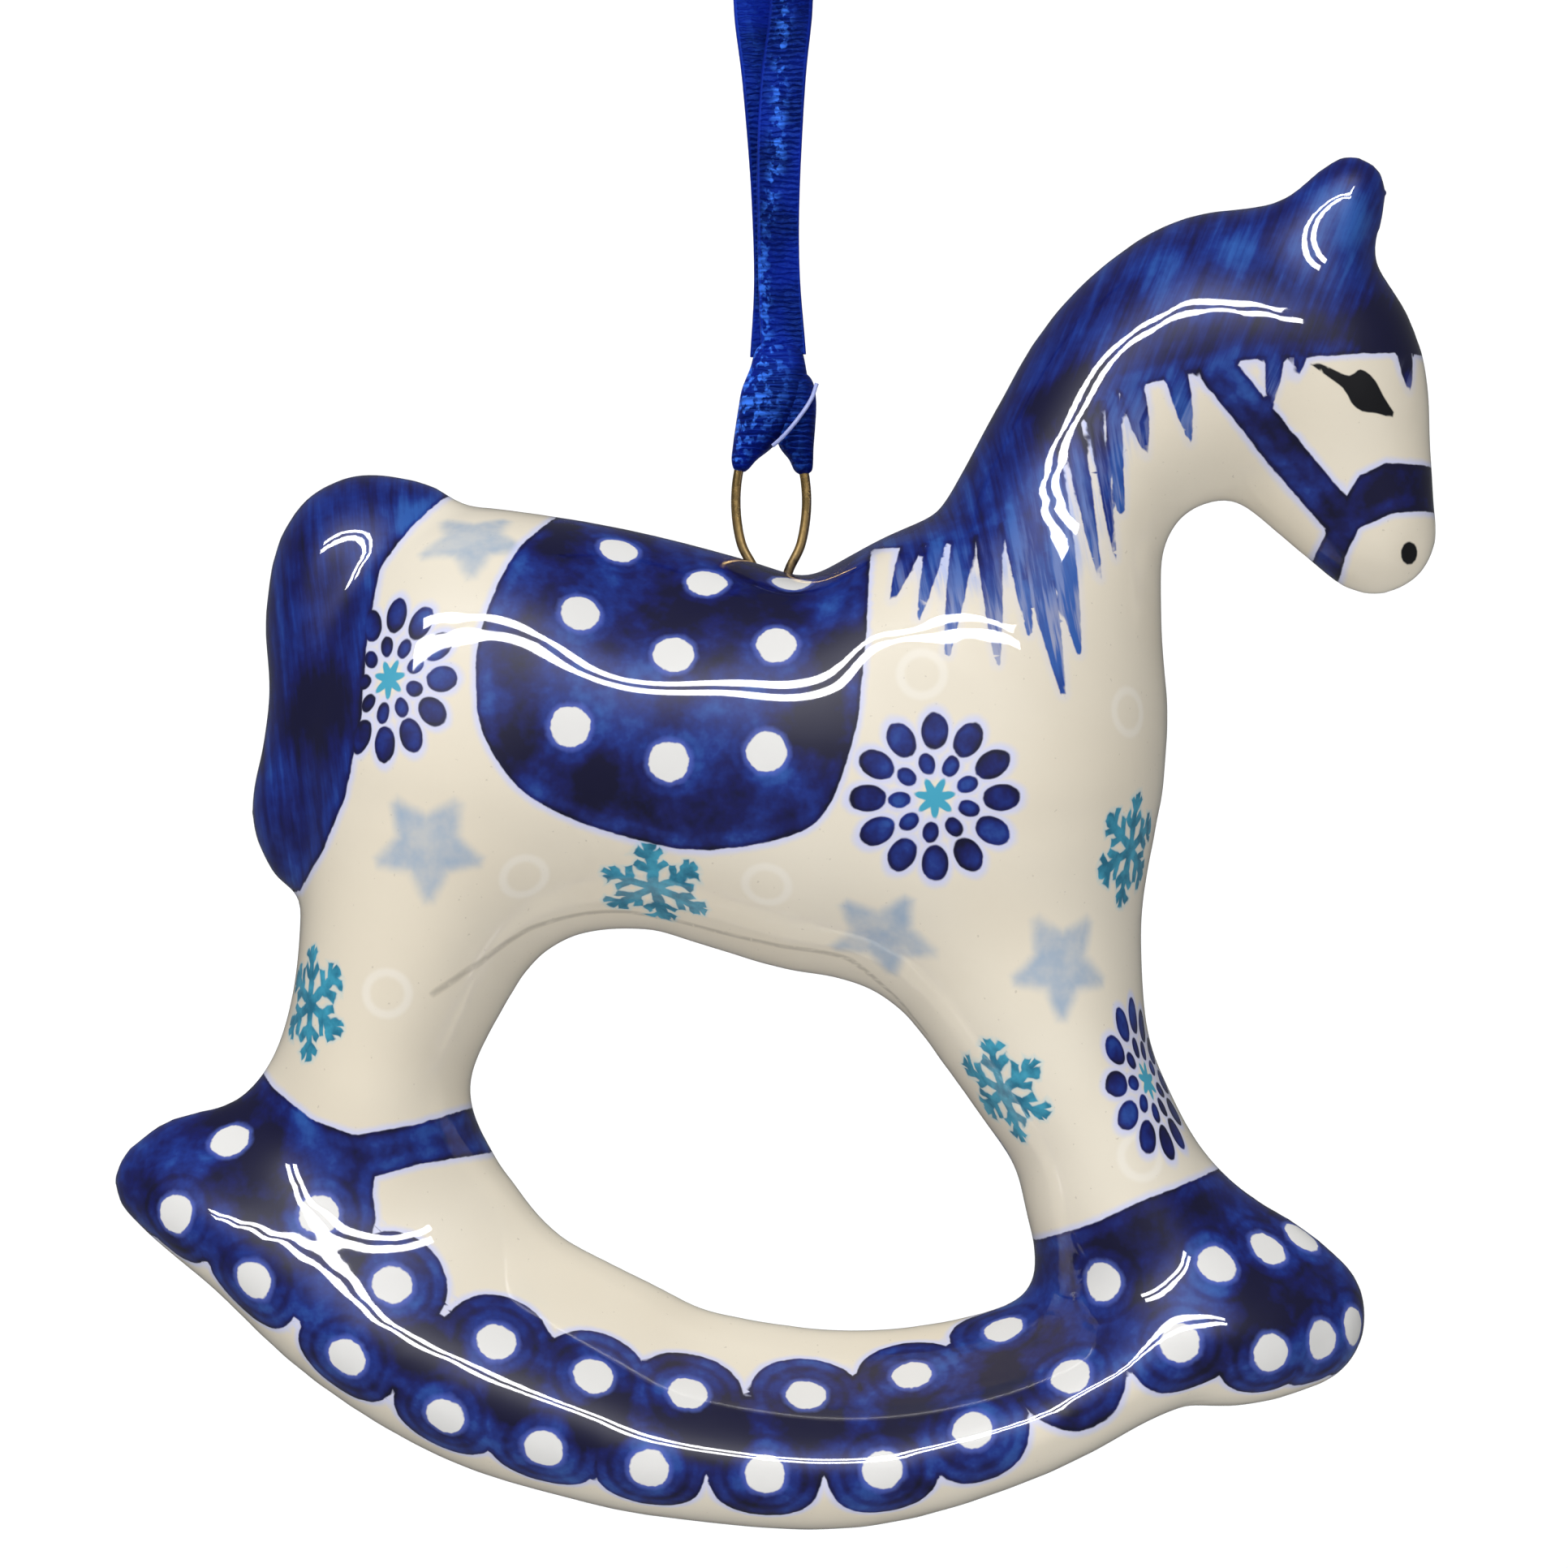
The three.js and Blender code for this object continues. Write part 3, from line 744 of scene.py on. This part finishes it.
def eased(points, faces, rounds):
    """The points with the ridges between the limbs sponged smooth, over about 1 mm."""
    pairs = np.vstack([faces[:, [n, (n + 1) % 4]] for n in range(4)])
    neighbours = np.bincount(pairs[:, 0], minlength=len(points))[:, None]
    for _ in range(rounds):
        total = np.stack([np.bincount(pairs[:, 0], axis[pairs[:, 1]], len(points))
                          for axis in points.T], axis=1)
        points = points + 0.5 * (total / neighbours - points)
    return points


CELL = 0.52
points, faces = skin(CELL)
x, y, z = points.T
side_view = points[:, [0, 2]]


def near_side(place):
    """The point of the surface on the side nearer the eye, at a place (x, z) of the side view."""
    px, pz = place
    depth = np.linspace(0, 15, 301)
    off = off_horse(np.full(301, px), -depth, np.full(301, pz))
    first = int(np.argmax(off > 0)) if (off > 0).any() else 0
    return np.array([px, -depth[first], pz])


def reach(places):
    """For each vertex the distance to the nearest of some places, and which place it is."""
    spots = np.array([near_side(p) for p in places])
    best = np.full(len(points), np.inf)
    which = np.zeros(len(points), int)
    mirrored = points * (1, -1, 1)
    mirrored[:, 1] = -np.abs(y)
    for n, spot in enumerate(spots):
        d = np.linalg.norm(mirrored - spot, axis=1)
        closer = d < best
        best[closer], which[closer] = d[closer], n
    return best, which, spots, mirrored


def stamped(marks):
    """Each vertex as (right, up) on the nearest stamp's own flat face, and its distance.

    A mark is a place in the side view and how narrow the stamp came out, rolled on a curve.
    """
    best, which, spots, mirrored = reach([mark[:2] for mark in marks])
    narrow = np.array([mark[2] for mark in marks])[which]
    _, rise = slope(spots + (0, -0.01, 0))
    normal = rise / np.linalg.norm(rise, axis=1)[:, None]
    upward = np.array([0, 0, 1]) - normal * normal[:, 2:]
    upward /= np.linalg.norm(upward, axis=1)[:, None]
    right = np.cross(upward, normal)
    away = mirrored - spots[which]
    flat = np.stack([(away * right[which]).sum(1), (away * upward[which]).sum(1)], axis=1)
    # Distances on the rubber stamp are kept: it bends round the clay without shrinking.
    stretch = best / np.maximum(np.linalg.norm(flat, axis=1), 1e-6)
    flat *= np.clip(stretch, 1, 1.6)[:, None]
    flat[:, 0] /= narrow
    return np.column_stack([flat, np.hypot(*flat.T) + np.maximum(best - 8, 0)])


def within(outline, closed_curve=True):
    """How far each vertex lies inside an outline of the side view, in mm."""
    ring = through(outline, steps=6, closed=True) if closed_curve else np.array(outline, float)
    p = side_view
    nearest = np.full(len(p), np.inf)
    odd = np.zeros(len(p), bool)
    for a, b in zip(ring, np.roll(ring, -1, axis=0)):
        edge = b - a
        t = np.clip(((p - a) @ edge) / max(edge @ edge, 1e-9), 0, 1)
        nearest = np.minimum(nearest, np.hypot(*(p - a - t[:, None] * edge).T))
        crosses = (a[1] > p[:, 1]) != (b[1] > p[:, 1])
        rise = edge[1] if edge[1] else 1e-9
        odd ^= crosses & (p[:, 0] < a[0] + (p[:, 1] - a[1]) * edge[0] / rise)
    return np.where(odd, nearest, -nearest)


def stroke(start, end, thick, fine):
    """One brush stroke that runs from `thick` down to `fine`, both half widths in mm."""
    a, b = np.array(start), np.array(end)
    edge = b - a
    t = np.clip(((side_view - a) @ edge) / (edge @ edge), 0, 1)
    away = np.hypot(*(side_view - a - t[:, None] * edge).T)
    return thick + (fine - thick) * t**2.2 - away


# ------------------------------------------------------------------ the painted design
# Underglaze colours are brushed and stamped by hand: a cobalt saddle, mane, tail, bridle
# and rocker with white dots left out, stamped flowers, snowflakes, soft stars and rings.

saddle = within([
    (-15.9, 73.9), (-18.9, 70.1), (-21, 64.7), (-21.3, 60.5), (-20.7, 57), (-18.3, 53.4),
    (-14.1, 51), (-7.6, 49.2), (-3.4, 49.1), (1.4, 50.1), (3.8, 52.2), (5.5, 57), (6.1, 61.1),
    (6.6, 68), (6.6, 74), (3, 80), (-12, 80),
])
mane = within([
    (48.3, 85.6), (45.1, 85.3), (41, 84.9), (37.6, 84.6), (33.7, 84.3), (30.6, 83.6), (25.1, 82.3),
    (22.6, 80.8), (20.6, 78), (18.4, 74.4), (15.6, 71.8), (12, 71), (8.8, 70.8), (6, 71),
    (5, 75), (11.5, 80), (14.5, 88), (23.4, 99), (34, 104), (44, 104), (50, 100), (50.5, 88),
], closed_curve=False)
MANE_LOCKS = [   # root, tip, half width at the root and at the tip
    ((10.4, 73), (8.2, 66.8), 0.85, 0.15), ((12, 73.6), (10.1, 65.4), 0.75, 0.15),
    ((13.8, 74), (12.1, 62.9), 0.9, 0.25), ((15, 74), (15.7, 62.2), 0.95, 0.2),
    ((16.6, 75), (18, 64.4), 0.8, 0.2), ((17.6, 75), (20.4, 60.1), 1.2, 0.2),
    ((19.2, 77), (21.6, 63.1), 1.3, 0.2), ((21.1, 80.5), (23.2, 68.6), 0.75, 0.15),
    ((22.7, 81.5), (24.4, 70.1), 0.55, 0.12), ((24.1, 82), (24.8, 73.6), 0.6, 0.3),
    ((25.4, 83), (26.7, 77.6), 0.95, 0.1), ((28.6, 84), (29.9, 78.6), 0.85, 0.1),
    ((35.9, 85), (35.6, 81.1), 0.7, 0.15), ((45.6, 86), (46, 82.6), 0.65, 0.1),
    ((37.8, 85), (37.4, 83.2), 0.5, 0.1),
]
LOCK_TONES = (-0.02, 0.08, 0.03, -0.05, 0.1)
mane_core = mane
lock_tone = np.zeros(len(points))
for n, lock in enumerate(MANE_LOCKS):
    painted = stroke(*lock)
    lock_tone[(painted > mane) & (painted > -0.3)] = LOCK_TONES[n % len(LOCK_TONES)]
    mane = np.maximum(mane, painted)
# Between the locks a pale wash is left where the brush has dragged water.
wash = np.clip(within([(8, 73), (10, 67.5), (13, 66.5), (17, 67.5), (20, 66), (22.5, 69),
                       (24.5, 74), (27, 81), (24, 83), (17, 79)]) / 1.5, 0, 1)
tail = within([
    (-23.4, 76), (-26.4, 72.6), (-28.5, 69.5), (-29.3, 64.1), (-29.6, 58.2), (-30.8, 52.8),
    (-32.6, 49), (-34.6, 46.3), (-46, 45), (-46, 86), (-24, 84),
], closed_curve=False)
noseband = within([
    (40.4, 73.4), (42.2, 76.3), (44.2, 77.3), (49.5, 77.4), (49.5, 74.1), (44.8, 73.7),
    (42.3, 72.6), (41.4, 70.6), (41.2, 68.8), (39.2, 69.4), (39.4, 71),
], closed_curve=False)
bridle = np.maximum(noseband, stroke((31.7, 83.6), (40.7, 73.6), 1.35, 1.25))
# The loaded brush leaves less and less colour towards the end of each lock.
on_locks = (mane > -2.5) & (bridle < -0.3) & (x > 7)
thin = np.where(on_locks, np.clip(-mane_core / 9, 0, 1), 0)

SADDLE_DOTS = [
    (-11.4, 70.9), (-5, 68.4), (1.1, 68.4), (-14, 65.9), (-7.3, 62.9), (0, 63.6),
    (-14.6, 57.7), (-7.6, 55.2), (-0.7, 55.9),
]
LOWER_DOTS = [
    (-43.3, 23), (-37.4, 18.3), (-30.6, 12.9), (-23.5, 8.8), (-16.5, 6.5), (-9, 5.2),
    (-0.8, 4.9), (7.5, 5.2), (13.9, 8), (20.9, 11.7), (28.6, 14.1), (35.3, 13.2), (39.2, 14),
    (41.9, 14.8),
]
UPPER_DOTS = [
    (-32.7, 23), (-27.4, 18.1), (-19.9, 14.1), (-13, 11.7), (-6.3, 10.4), (2.1, 10.2),
    (9.7, 11.5), (16.4, 14.6), (23.4, 18.2), (31.5, 19.5), (35.4, 20.5), (38.2, 21.2),
]
TOE_DOTS = [(-39.5, 28.2)]
band = within([*LOWER_DOTS[:-1], (42, 16), *reversed(UPPER_DOTS[:-1]), (-36, 27)])
hind_foot = within([
    (-52, 22), (-52, 36), (-37.6, 33.2), (-36.4, 32), (-33.2, 29.7), (-30.2, 28.7), (-26, 29.4),
    (-21, 30.9), (-20.4, 27.3), (-25.5, 26.6), (-28.8, 25.7), (-29.2, 22), (-28, 18), (-37, 17),
    (-43, 21),
], closed_curve=False)
front_foot = within([
    (17.4, 20.4), (18.9, 21), (22.8, 22.5), (26.4, 24.2), (31.7, 26), (48, 30), (48, 13.4),
    (39, 12.6), (28.6, 13), (20.9, 11.7), (16.4, 13.6),
], closed_curve=False)
scallop, _, _, _ = reach(LOWER_DOTS + UPPER_DOTS)
SCALLOP_RADIUS = 4.0
rocker_paint = np.maximum.reduce([band, hind_foot, front_foot, SCALLOP_RADIUS - scallop])
dot, _, _, _ = reach(SADDLE_DOTS + LOWER_DOTS + UPPER_DOTS + TOE_DOTS)
cobalt = np.maximum.reduce([saddle, mane, tail, bridle, rocker_paint])

black = within([
    (38.2, 84.4), (39.5, 84.1), (41.3, 83.4), (42.2, 83.9), (43.2, 83.3), (44, 82), (44.9, 80.6),
    (43.4, 80.8), (42.3, 80.9), (41.5, 81.5), (41, 82.4), (39.6, 83.4),
])
black = np.maximum(black, 0.65 - np.hypot(x - 46.1, 0.8 * (z - 70.9)))

DABS = [   # x, z, radius and strength of darker or lighter touches of the brush
    (-1, 67.4, 3.4, 0.2), (-7, 66.6, 2.6, 0.2), (-32.4, 59, 4, 0.2), (44.6, 86.8, 3, 0.35),
    (21, 81, 3, 0.2), (25.8, 20.4, 4, 0.2), (35.5, 17, 3, 0.15), (-38.3, 29.3, 3.4, 0.2),
    (-20, 56, 2.4, 0.15), (3.4, 58, 2.6, 0.2), (-25.2, 13.6, 2, 0.3), (-19, 10.4, 1.6, 0.35),
    (-12.2, 8.5, 1.8, 0.35), (-4.5, 7.9, 2.4, 0.35), (2.8, 8.4, 1.8, 0.35), (9, 8.8, 1.5, 0.25),
    (16.4, 11.1, 1.8, 0.3), (-31, 20.6, 2.2, 0.25), (-37, 22.4, 1.8, 0.2), (-12, 52.5, 2.2, 0.15),
    (5, 63, 2, 0.2), (-16.6, 71.5, 2.6, 0.2), (40.8, 95.5, 2.4, -0.22), (33.5, 92.4, 1.8, -0.15),
    (28, 90.3, 2.2, -0.15), (38.6, 92.6, 1.6, -0.12), (29.5, 18.6, 2.6, -0.16),
    (-33.4, 31.4, 1.6, -0.16), (-26.3, 73.4, 1.6, -0.2), (45.5, 75.6, 3.2, 0.22),
    (41.2, 73.6, 2.2, 0.15), (36.5, 78.5, 3, 0.06),
]
dark = np.zeros(len(points))
for px, pz, radius, strength in DABS:
    dark += strength * np.exp(-(((x - px) ** 2 + (z - pz) ** 2) / radius**2) ** 2)
# The bridle's crown strap and browband show as two darker bands across the mane.
crown_strap = np.maximum(stroke((18.6, 81.6), (27.6, 85.4), 1.0, 1.4),
                         stroke((27.6, 85.4), (41.5, 86.9), 1.4, 1.3))
browband = within([(41.6, 85.4), (42.2, 88.4), (47.2, 87.8), (47.6, 85.2)], closed_curve=False)
strap = np.clip(np.maximum(0.7 * (crown_strap / 0.5 + 0.5), browband / 0.4 + 0.5), 0, 1)
dark += 0.07 * strap * (mane_core > 0)
streaky = np.clip(np.maximum(mane, tail) / 0.6 + 1, 0, 1)
# The way of the brush: down the tail, back from the crest of the mane, and down its locks.
in_tail = x < -22
lean = np.where(in_tail, -0.12 * (z - 60), np.where(z > 80, 0.42, -0.17) * (z - 80))
brush = np.stack([x - lean, np.where(in_tail, z, z - 0.2 * x), 0 * x], axis=1)

# The two halves of the mould leave one faint wandering line under the belly.
SEAM = [(-24.5, 38.8), (-21.3, 41), (-17.7, 43.5), (-12.9, 44.7), (-8.8, 44.4), (-4, 43.2),
        (0.4, 42.2), (4.3, 41.6), (6.1, 40.7), (8.8, 38.4), (10.9, 35.9)]
seam_line = through([near_side(spot) for spot in through(SEAM, steps=4)], steps=12)
seam = np.full(len(points), 9.0)
under = np.nonzero((z > 33) & (z < 48) & (y < 1))[0]
for spot in seam_line:
    seam[under] = np.minimum(seam[under], np.linalg.norm(points[under] - spot, axis=1))

horse_mesh = bpy.data.meshes.new("cast_horse")
horse_mesh.from_pydata(hung(points).tolist(), [], faces.tolist())
PAINT = {
    "cobalt": cobalt, "black": black, "dot": dot, "scallop": scallop, "dark": dark,
    "thin": thin, "lock": lock_tone, "wash": wash, "seam": seam, "streaky": streaky,
}
for name, values in PAINT.items():
    put_numbers(horse_mesh, name, values)
put_numbers(horse_mesh, "brush", brush, "FLOAT_VECTOR")
FLOWERS = [(11.2, 52.6, 1), (-27.6, 61.2, 0.85), (26.7, 32.6, 0.72)]
SNOWFLAKES = [(25.5, 49.2, 0.9), (-8.7, 46.4, 1), (16.2, 31.8, 0.95), (-33.6, 38.2, 0.95)]
STARS = [(-24.8, 49.2, 1), (7.6, 42.9, 1), (20.4, 40.9, 0.92), (-21.8, 71.6, 1)]
RINGS = [(10.3, 61.4), (25.3, 59), (-18, 47.1), (-0.7, 46.5), (-27.8, 38.8), (26.1, 27.2)]
for name, places in (("flower", FLOWERS), ("snowflake", SNOWFLAKES), ("star", STARS)):
    put_numbers(horse_mesh, name, stamped(places), "FLOAT_VECTOR")
put_numbers(horse_mesh, "ring", reach(RINGS)[0])

CREAM = (0.80, 0.735, 0.61)
CREAM_WARM = (0.74, 0.65, 0.50)
LAVENDER = (0.60, 0.64, 0.93)
DOT_WHITE = (0.78, 0.77, 0.75)
NAVY = (0.0028, 0.0026, 0.032)
COBALT_DEEP = (0.003, 0.006, 0.105)
COBALT = (0.005, 0.025, 0.22)
COBALT_WASH = (0.022, 0.1, 0.4)
TURQUOISE = (0.05, 0.36, 0.52)
TEAL = (0.012, 0.15, 0.25)
STAR_BLUE = (0.34, 0.43, 0.55)
EYE_BLACK = (0.004, 0.004, 0.006)


def painted_stoneware():
    f = Finish("glazed painted stoneware")
    place = f.place()
    wobble = f.noise(place, 1100.0, 2.0) - 0.5

    def polar(name):
        """A stamp's own radius, angle and distance, in mm, with a slightly shaky hand."""
        vector = f.attribute(name, "Vector")
        u, v, far = (f.node("ShaderNodeSeparateXYZ", None, [vector], output=axis)
                     for axis in ("X", "Y", "Z"))
        radius = (u * u + v * v).math("SQRT") + 0.35 * wobble
        return radius, v.math("ARCTAN2", u), far

    def fan(angle, count, start=0.0):
        """The angle from the middle line of the nearest of `count` equal sectors."""
        turn = (angle + start) * (count / (2 * math.pi)) + 0.5
        return (turn - turn.math("FLOOR") - 0.5) * (2 * math.pi / count)

    def petals(radius, angle, count, ring, long, wide, start=0.0):
        swing = fan(angle, count, start)
        a = (radius * swing.math("COSINE") - ring) / long
        b = radius * swing.math("SINE") / wide
        return (1 - (a * a + b * b).math("SQRT")) * wide

    radius, angle, far = polar("flower")
    petal_marks = petals(radius, angle, 12, 4.75, 1.35, 0.98).higher(
        petals(radius, angle, 9, 2.5, 0.8, 0.6, 0.3))
    flower = petal_marks.lower(7.2 - far)
    heart = (1.15 + 0.35 * (angle * 7).math("SINE") - radius).lower(3.0 - far)

    radius, angle, far = polar("snowflake")
    radius = radius + 0.9 * (f.noise(place, 620.0, 2.0) - 0.5)
    angle = angle + 0.6 * (f.noise(place, 420.0, 2.0) - 0.5)
    swing = fan(angle, 6, math.pi / 2)
    a = radius * swing.math("COSINE")
    b = (radius * swing.math("SINE")).size()
    flake = (0.4 - b).lower(4.2 - a).higher(0.85 - radius)
    for start, length, lean in ((1.7, 1.5, 52), (2.9, 1.25, 48)):
        c, s = math.cos(math.radians(lean)), math.sin(math.radians(lean))
        run = (a - start) * c + b * s
        off = (b * c - (a - start) * s).size()
        flake = flake.higher((0.34 - off).lower(run + 0.1).lower(length - run))
    flake = flake.lower(6.0 - far)

    radius, angle, far = polar("star")
    swing = fan(angle, 5, math.pi / 2)
    a = radius * swing.math("COSINE")
    b = (radius * swing.math("SINE")).size()
    tip, slant_a, slant_b = 4.4, 0.457, 0.889     # where an arm ends, and its sides' slant
    star = ((tip - a) * slant_a - b * slant_b).lower(3.9 - radius).lower(5.6 - far)

    edge = f.attribute("cobalt") + 0.22 * wobble
    edge = edge.higher(flower)
    cobalt_on = edge.rise(-0.05, 0.07)
    thin = f.attribute("thin")
    loaded = 1 - thin.rise(0.03, 0.35)
    halo = edge.rise(-0.62, -0.05) * (0.2 + 0.55 * loaded)

    # The tone of the cobalt: dabbed and pooled on the flat areas, streaked on mane and tail.
    blotch = f.noise(place, 260.0, 4.0, 0.6)
    fine = f.noise(place, 1500.0, 2.0)
    hair = f.noise(f.node("ShaderNodeVectorMath", {"operation": "MULTIPLY"}, [
        f.attribute("brush", "Vector"), (1.35, 0.11, 1.0)]), 1.0, 3.0, 0.6)
    streaky = f.attribute("streaky")
    tone = blotch * (1 - streaky) + (0.42 * blotch + 0.62 * hair) * streaky
    tone = tone + 0.08 * (fine - 0.5) - f.attribute("dark") + 0.3 * thin + f.attribute("lock")
    dot_away = f.attribute("dot") + 0.4 * wobble
    scallop_away = f.attribute("scallop")
    tone = tone + 0.07 * dot_away.band(1.6, 2.5, 0.25) - 0.07 * scallop_away.band(2.7, 3.1, 0.15)
    tone = tone + 0.07 * edge.band(0.35, 1.1, 0.3) - 0.08 * loaded * edge.band(0.0, 0.24, 0.08)
    blue = f.node("ShaderNodeValToRGB", {"stops": [
        (0.33, NAVY), (0.47, COBALT_DEEP), (0.6, COBALT), (0.8, COBALT_WASH)]}, [tone])
    white_dot = 1 - dot_away.rise(1.36, 1.5)
    dot_rim = 1 - dot_away.rise(1.5, 1.95)
    blue = f.mix(dot_rim * 0.55, blue, (0.1, 0.16, 0.62))
    blue = f.mix(white_dot, blue, DOT_WHITE)

    cloud = f.noise(place, 45.0, 2.0)
    speck = f.noise(place, 2600.0, 1.0).rise(0.74, 0.8)
    cream = f.mix(cloud.rise(0.3, 0.75) * 0.5, CREAM, CREAM_WARM)
    cream = f.mix(speck * 0.3, cream, (0.3, 0.24, 0.17))
    ghost = f.attribute("ring").band(1.25, 1.85, 0.2)
    cream = f.mix(ghost * 0.35, cream, (0.93, 0.9, 0.84))
    water = f.noise(place, 420.0, 3.0).rise(0.25, 0.75)
    cream = f.mix(star.rise(-0.6, 0.6) * (0.5 + 0.5 * water), cream, STAR_BLUE)
    cream = f.mix((1 - f.attribute("seam").rise(0.08, 0.45)) * 0.5, cream, (0.3, 0.26, 0.2))
    cream = f.mix(f.attribute("wash") * hair.rise(0.4, 0.62) * 0.7, cream, (0.3, 0.42, 0.78))
    cream = f.mix(halo, cream, LAVENDER)
    teal = f.mix(f.noise(place, 700.0, 3.0).rise(0.3, 0.7), TEAL, TURQUOISE)
    cream = f.mix(flake.rise(-0.35, 0.0) * 0.35, cream, (0.35, 0.62, 0.72))
    cream = f.mix(flake.rise(-0.06, 0.08), cream, teal)
    colour = f.mix(cobalt_on * (1 - 0.4 * thin * hair.rise(0.45, 0.6)), cream, blue)
    colour = f.mix(heart.rise(-0.1, 0.15), colour, TURQUOISE)
    colour = f.mix(f.attribute("black").rise(-0.06, 0.06), colour, EYE_BLACK)
    ripple = f.noise(place, 120.0, 1.0)
    return f.set(
        base_color=colour,
        roughness=0.4 + 0.1 * blotch,
        normal=f.bump(ripple, 0.3 * MM, 0.35),
        coat_weight=1.0, coat_roughness=0.03, coat_ior=1.5, specular_ior_level=0.25,
    )


horse = new_piece("cast_horse", horse_mesh, painted_stoneware())
flip_outwards(horse_mesh)
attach(horse, "horse")
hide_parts("horse_body")


# --------------------------------------------------------------- the pale sweep, lights
# A white paper sweep, well below and behind, lit evenly. Two thin tubes in front and above
# draw the pair of bright lines along the glaze.

SWEEP_FLOOR = -0.32
SWEEP_NEAR, SWEEP_BEND, SWEEP_RADIUS, SWEEP_TOP, SWEEP_HALF = -0.8, 0.7, 0.5, 2.2, 2.2
profile = [(SWEEP_NEAR, SWEEP_FLOOR)]
for n in range(17):
    turn = math.pi / 2 * n / 16
    profile.append((SWEEP_BEND + SWEEP_RADIUS * math.sin(turn),
                    SWEEP_FLOOR + SWEEP_RADIUS * (1 - math.cos(turn))))
profile.append((SWEEP_BEND + SWEEP_RADIUS, SWEEP_TOP))
sweep_mesh = bpy.data.meshes.new("paper_sweep")
sweep_points = [(side * SWEEP_HALF, b, c) for b, c in profile for side in (-1, 1)]
sweep_mesh.from_pydata(sweep_points, [], [
    (2 * n, 2 * n + 1, 2 * n + 3, 2 * n + 2) for n in range(len(profile) - 1)])


def paper():
    f = Finish("white paper")
    grain = f.noise(f.place(), 60.0, 2.0)
    return f.set(base_color=f.mix(grain, (0.9, 0.9, 0.9), (0.93, 0.93, 0.93)),
                 roughness=0.9, specular_ior_level=0.1)


sweep = new_piece("paper_sweep", sweep_mesh, paper())
sweep.visible_glossy = False


def panel(name, place, aim, size, power, shows_in_gloss, colour=(1, 1, 1)):
    data = bpy.data.lights.new(name, "AREA")
    data.shape = "RECTANGLE"
    data.size, data.size_y = size
    data.energy = power
    data.color = colour
    light = bpy.data.objects.new(name, data)
    bpy.context.scene.collection.objects.link(light)
    light.location = place
    way = Vector(aim) - Vector(place)
    light.rotation_euler = way.to_track_quat("-Z", "Y").to_euler()
    light.visible_glossy = shows_in_gloss
    light.visible_camera = False
    return light


MIDDLE = (0, 0, -0.06)
panel("soft key", (-0.35, -0.9, 0.75), MIDDLE, (0.9, 0.7), 14.5, False)
panel("soft fill", (0.9, -0.8, 0.1), MIDDLE, (0.8, 0.8), 2.0, False)
panel("sweep light", (0, 0.5, 1.1), (0, 1.2, 0.05), (1.6, 0.4), 14.5, False)
for name, rise in (("tube low", 0.47), ("tube high", 0.63)):
    tube = panel(name, (-0.05, -0.9, rise), MIDDLE, (1.5, 0.075), 11.0, True)
    tube.visible_diffuse = False

world = bpy.data.worlds.new("room")
bpy.context.scene.world = world
world.use_nodes = True
room = world.node_tree
background = room.nodes["Background"]
background.inputs["Color"].default_value = (0.93, 0.96, 1.0, 1)
ray = room.nodes.new("ShaderNodeLightPath")
dim = room.nodes.new("ShaderNodeMapRange")
dim.inputs["To Min"].default_value = 0.13
dim.inputs["To Max"].default_value = 0.1
room.links.new(ray.outputs["Is Glossy Ray"], dim.inputs["Value"])
seen = room.nodes.new("ShaderNodeMath")   # beyond the paper the room is seen pale as well
seen.operation = "MULTIPLY_ADD"
seen.inputs[1].default_value = 0.9
room.links.new(ray.outputs["Is Camera Ray"], seen.inputs[0])
room.links.new(dim.outputs["Result"], seen.inputs[2])
room.links.new(seen.outputs["Value"], background.inputs["Strength"])
